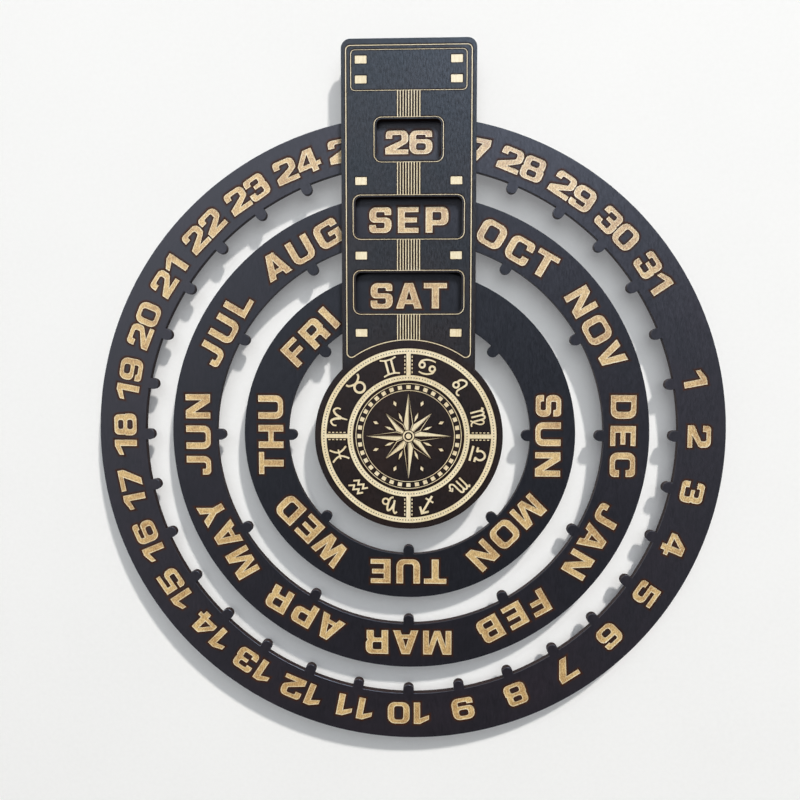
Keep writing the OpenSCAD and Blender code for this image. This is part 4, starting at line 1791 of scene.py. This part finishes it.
@dataclass
class Studio:
    """Wall, lights and camera round the object, in metres."""

    wall_half: float = 1.6
    lamps: tuple[Lamp, ...] = (
        Lamp("key", (0.52, -1.0, 1.145), distance=10.0, size=0.667, share=0.485, colour=(1.0, 0.975, 0.94)),
        Lamp("fill", (0.08, -1.0, 0.5), distance=4.0, size=4.0, share=0.397, colour=(0.92, 0.965, 1.0),
             glossy=False),
        Lamp("sheen", (0.48, -1.0, 1.12), distance=5.0, size=1.4, share=2.0, colour=(0.68, 0.8, 1.0),
             matt=False),
        Lamp("behind", (-0.3, 1.0, 0.3), distance=5.0, size=3.0, share=0.5, colour=(0.97, 0.985, 1.0)),
    )
    sky: Colour = (0.22, 0.235, 0.26, 1.0)
    ground: Colour = (0.12, 0.118, 0.115, 1.0)
    floor: Colour = (0.06, 0.06, 0.06, 1.0)
    ceiling: Colour = (0.9, 1.0, 1.1, 1.0)
    window: Colour = (4.7, 5.0, 5.3, 1.0)
    sky_span: Point = (-0.4, 0.6)
    ceiling_span: Point = (0.0, 0.8)
    window_left: Point = (-0.5, 0.05)
    window_up: Point = (-0.12, 0.25)
    upper_light: float = 0.2
    side_light: float = 1.3
    wall_mirrored: float = 1.4
    # painted glow: share of a white glow mixed into the wall's paint, at the foot of the object and at its
    # top, which lifts the wall and its shadows more towards the top
    veil: Point = (0.03, 0.2)
    veil_colour: Colour = (0.985, 0.995, 1.0, 1.0)
    camera_place: Place = (0.0098, -0.4257, -0.1407)
    camera_axis: Place = (-0.035, 0.997, -0.0705)
    camera_clip: Point = (0.01, 50.0)
    sensor: float = 36.0
    lens: float = 33.75

    def wall(self) -> None:
        """Makes the wall, which shows from the front only and holds back no light, with a painted glow that
        grows upwards.
        """
        half, y = self.wall_half, LAYOUT.wall_y * MM
        mesh = bpy.data.meshes.new("wall")
        corners = [(-half, y, -half), (half, y, -half), (half, y, half), (-half, y, half)]
        mesh.from_pydata(corners, [], [(0, 1, 2, 3)])
        material, pen = new_material(WALL_PAINT.name)
        matt = pen.out("ShaderNodeBsdfDiffuse", {"Color": WALL_PAINT.surface(pen).colour})
        place = pen.add("ShaderNodeTexCoord").outputs["Object"]
        height = pen.add("ShaderNodeSeparateXYZ", {0: place}).outputs["Z"]
        # painted glow, stronger towards the top, lifting the wall and the shadows on it
        veil = pen.span(height, 2 * LAYOUT.axis_z * MM, 0.0, *self.veil)
        glow = pen.out("ShaderNodeEmission", {"Color": self.veil_colour})
        painted = pen.out("ShaderNodeMixShader", {0: veil, 1: matt, 2: glow})
        clear = pen.out("ShaderNodeBsdfTransparent")
        rays = pen.add("ShaderNodeLightPath").outputs
        front = pen.math("SUBTRACT", 1.0, pen.add("ShaderNodeNewGeometry").outputs["Backfacing"])
        shown = pen.math("MULTIPLY", rays["Is Camera Ray"], front)
        front_only = pen.out("ShaderNodeMixShader", {0: shown, 1: clear, 2: painted})
        mirrored_ray = pen.math("ADD", rays["Is Glossy Ray"], rays["Is Transmission Ray"])
        mirrored_wall = pen.out(
            "ShaderNodeEmission", {"Color": self.ceiling, "Strength": self.wall_mirrored})
        shader = pen.out("ShaderNodeMixShader", {0: mirrored_ray, 1: front_only, 2: mirrored_wall})
        pen.add("ShaderNodeOutputMaterial", {"Surface": shader})
        mesh.materials.append(material)
        wall = bpy.data.objects.new("wall", mesh)
        bpy.context.scene.collection.objects.link(wall)

    def light(self) -> None:
        """Hangs the lamps and makes the surroundings.

        Matt surfaces get a dim light from all round. Gloss mirrors bright sides and a window at the upper
        left, and the camera sees white past the wall.
        """
        for lamp in self.lamps:
            lamp.build()
        world = bpy.data.worlds.new("studio")
        world.use_nodes = True
        world.node_tree.nodes.clear()
        pen = NodePen(world.node_tree)
        direction = pen.add("ShaderNodeTexCoord").outputs["Generated"]
        axes = pen.add("ShaderNodeSeparateXYZ", {0: direction}).outputs
        height, aside = axes["Z"], pen.math("ABSOLUTE", axes["X"])
        dim = pen.mix(pen.span(height, *self.sky_span), self.ground, self.sky)
        above = pen.math("MULTIPLY", height, self.upper_light)
        reach = pen.math("ADD", above, pen.math("MULTIPLY", aside, self.side_light))
        room = pen.mix(pen.span(reach, *self.ceiling_span), self.floor, self.ceiling)
        leftward = pen.span(axes["X"], *self.window_left, 1.0, 0.0)
        upward = pen.span(height, *self.window_up)
        mirrored_room = pen.mix(pen.math("MULTIPLY", leftward, upward), room, self.window)
        rays = pen.add("ShaderNodeLightPath").outputs
        mirrored_ray = pen.math("ADD", rays["Is Glossy Ray"], rays["Is Transmission Ray"])
        unseen = pen.mix(mirrored_ray, dim, mirrored_room)
        colour = pen.mix(rays["Is Camera Ray"], unseen, WHITE)
        shader = pen.out("ShaderNodeBackground", {"Color": colour})
        pen.add("ShaderNodeOutputWorld", {"Surface": shader})
        bpy.context.scene.world = world

    def camera(self) -> None:
        """Makes the camera at the photograph's place."""
        data = bpy.data.cameras.new("camera")
        data.sensor_width, data.lens = self.sensor, self.lens
        data.clip_start, data.clip_end = self.camera_clip
        camera = bpy.data.objects.new("camera", data)
        camera.location = self.camera_place
        aim = Vector(self.camera_axis).to_track_quat("-Z", "Y").to_matrix()
        camera.rotation_euler = aim.to_euler()
        bpy.context.scene.collection.objects.link(camera)
        bpy.context.scene.camera = camera

    def build(self) -> None:
        """Makes wall, lights and camera, and sets plain colours."""
        self.wall()
        self.light()
        self.camera()
        bpy.context.scene.view_settings.view_transform = "Standard"


DATES = (*(str(day) for day in range(26, 32)), "", *(str(day) for day in range(1, 26)))
MONTHS = ("SEP", "OCT", "NOV", "DEC", "JAN", "FEB", "MAR", "APR", "MAY", "JUN", "JUL", "AUG")
WEEKDAYS = ("SAT", "", "SUN", "MON", "TUE", "WED", "THU", "FRI")
RINGS = (
    LabelRing("date_ring", outer_r=175.0, width=26.0, labels=DATES, label_r=160.6, label_h=13.0,
              stretch=0.98, paint=DATE_FACE),
    LabelRing("month_ring", outer_r=133.25, width=25.0, labels=MONTHS, label_r=118.9, label_h=14.2,
              stretch=0.94, paint=MONTH_FACE, spacing=0.04),
    LabelRing("weekday_ring", outer_r=92.5, width=24.7, labels=WEEKDAYS, label_r=77.6, label_h=14.25,
              stretch=0.935, paint=WEEKDAY_FACE),
)


def main() -> None:
    """Builds the calendar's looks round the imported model."""
    logging.basicConfig(level=logging.INFO, format="%(name)s: %(message)s")
    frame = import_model()
    Studio().build()
    paints = (PAINT, PLATE_FACE, DATE_FACE, MONTH_FACE, WEEKDAY_FACE)
    finishes = (*paints, LABEL_WOOD, PLATE_WOOD, SCORCH, CUT_EDGE, ZINC, RUBBER, BLACK_BOARD, BARE_BOARD)
    shared = {finish: finish.material() for finish in finishes}
    FrontPlate().build(shared)
    DiscBeads().build(shared)
    for ring in RINGS:
        ring.build(shared)
    Screws().build(shared)
    Bumpers().build(shared)
    HiddenBoards().dress(frame["nodes"], shared)


if __name__ == "__main__":
    main()
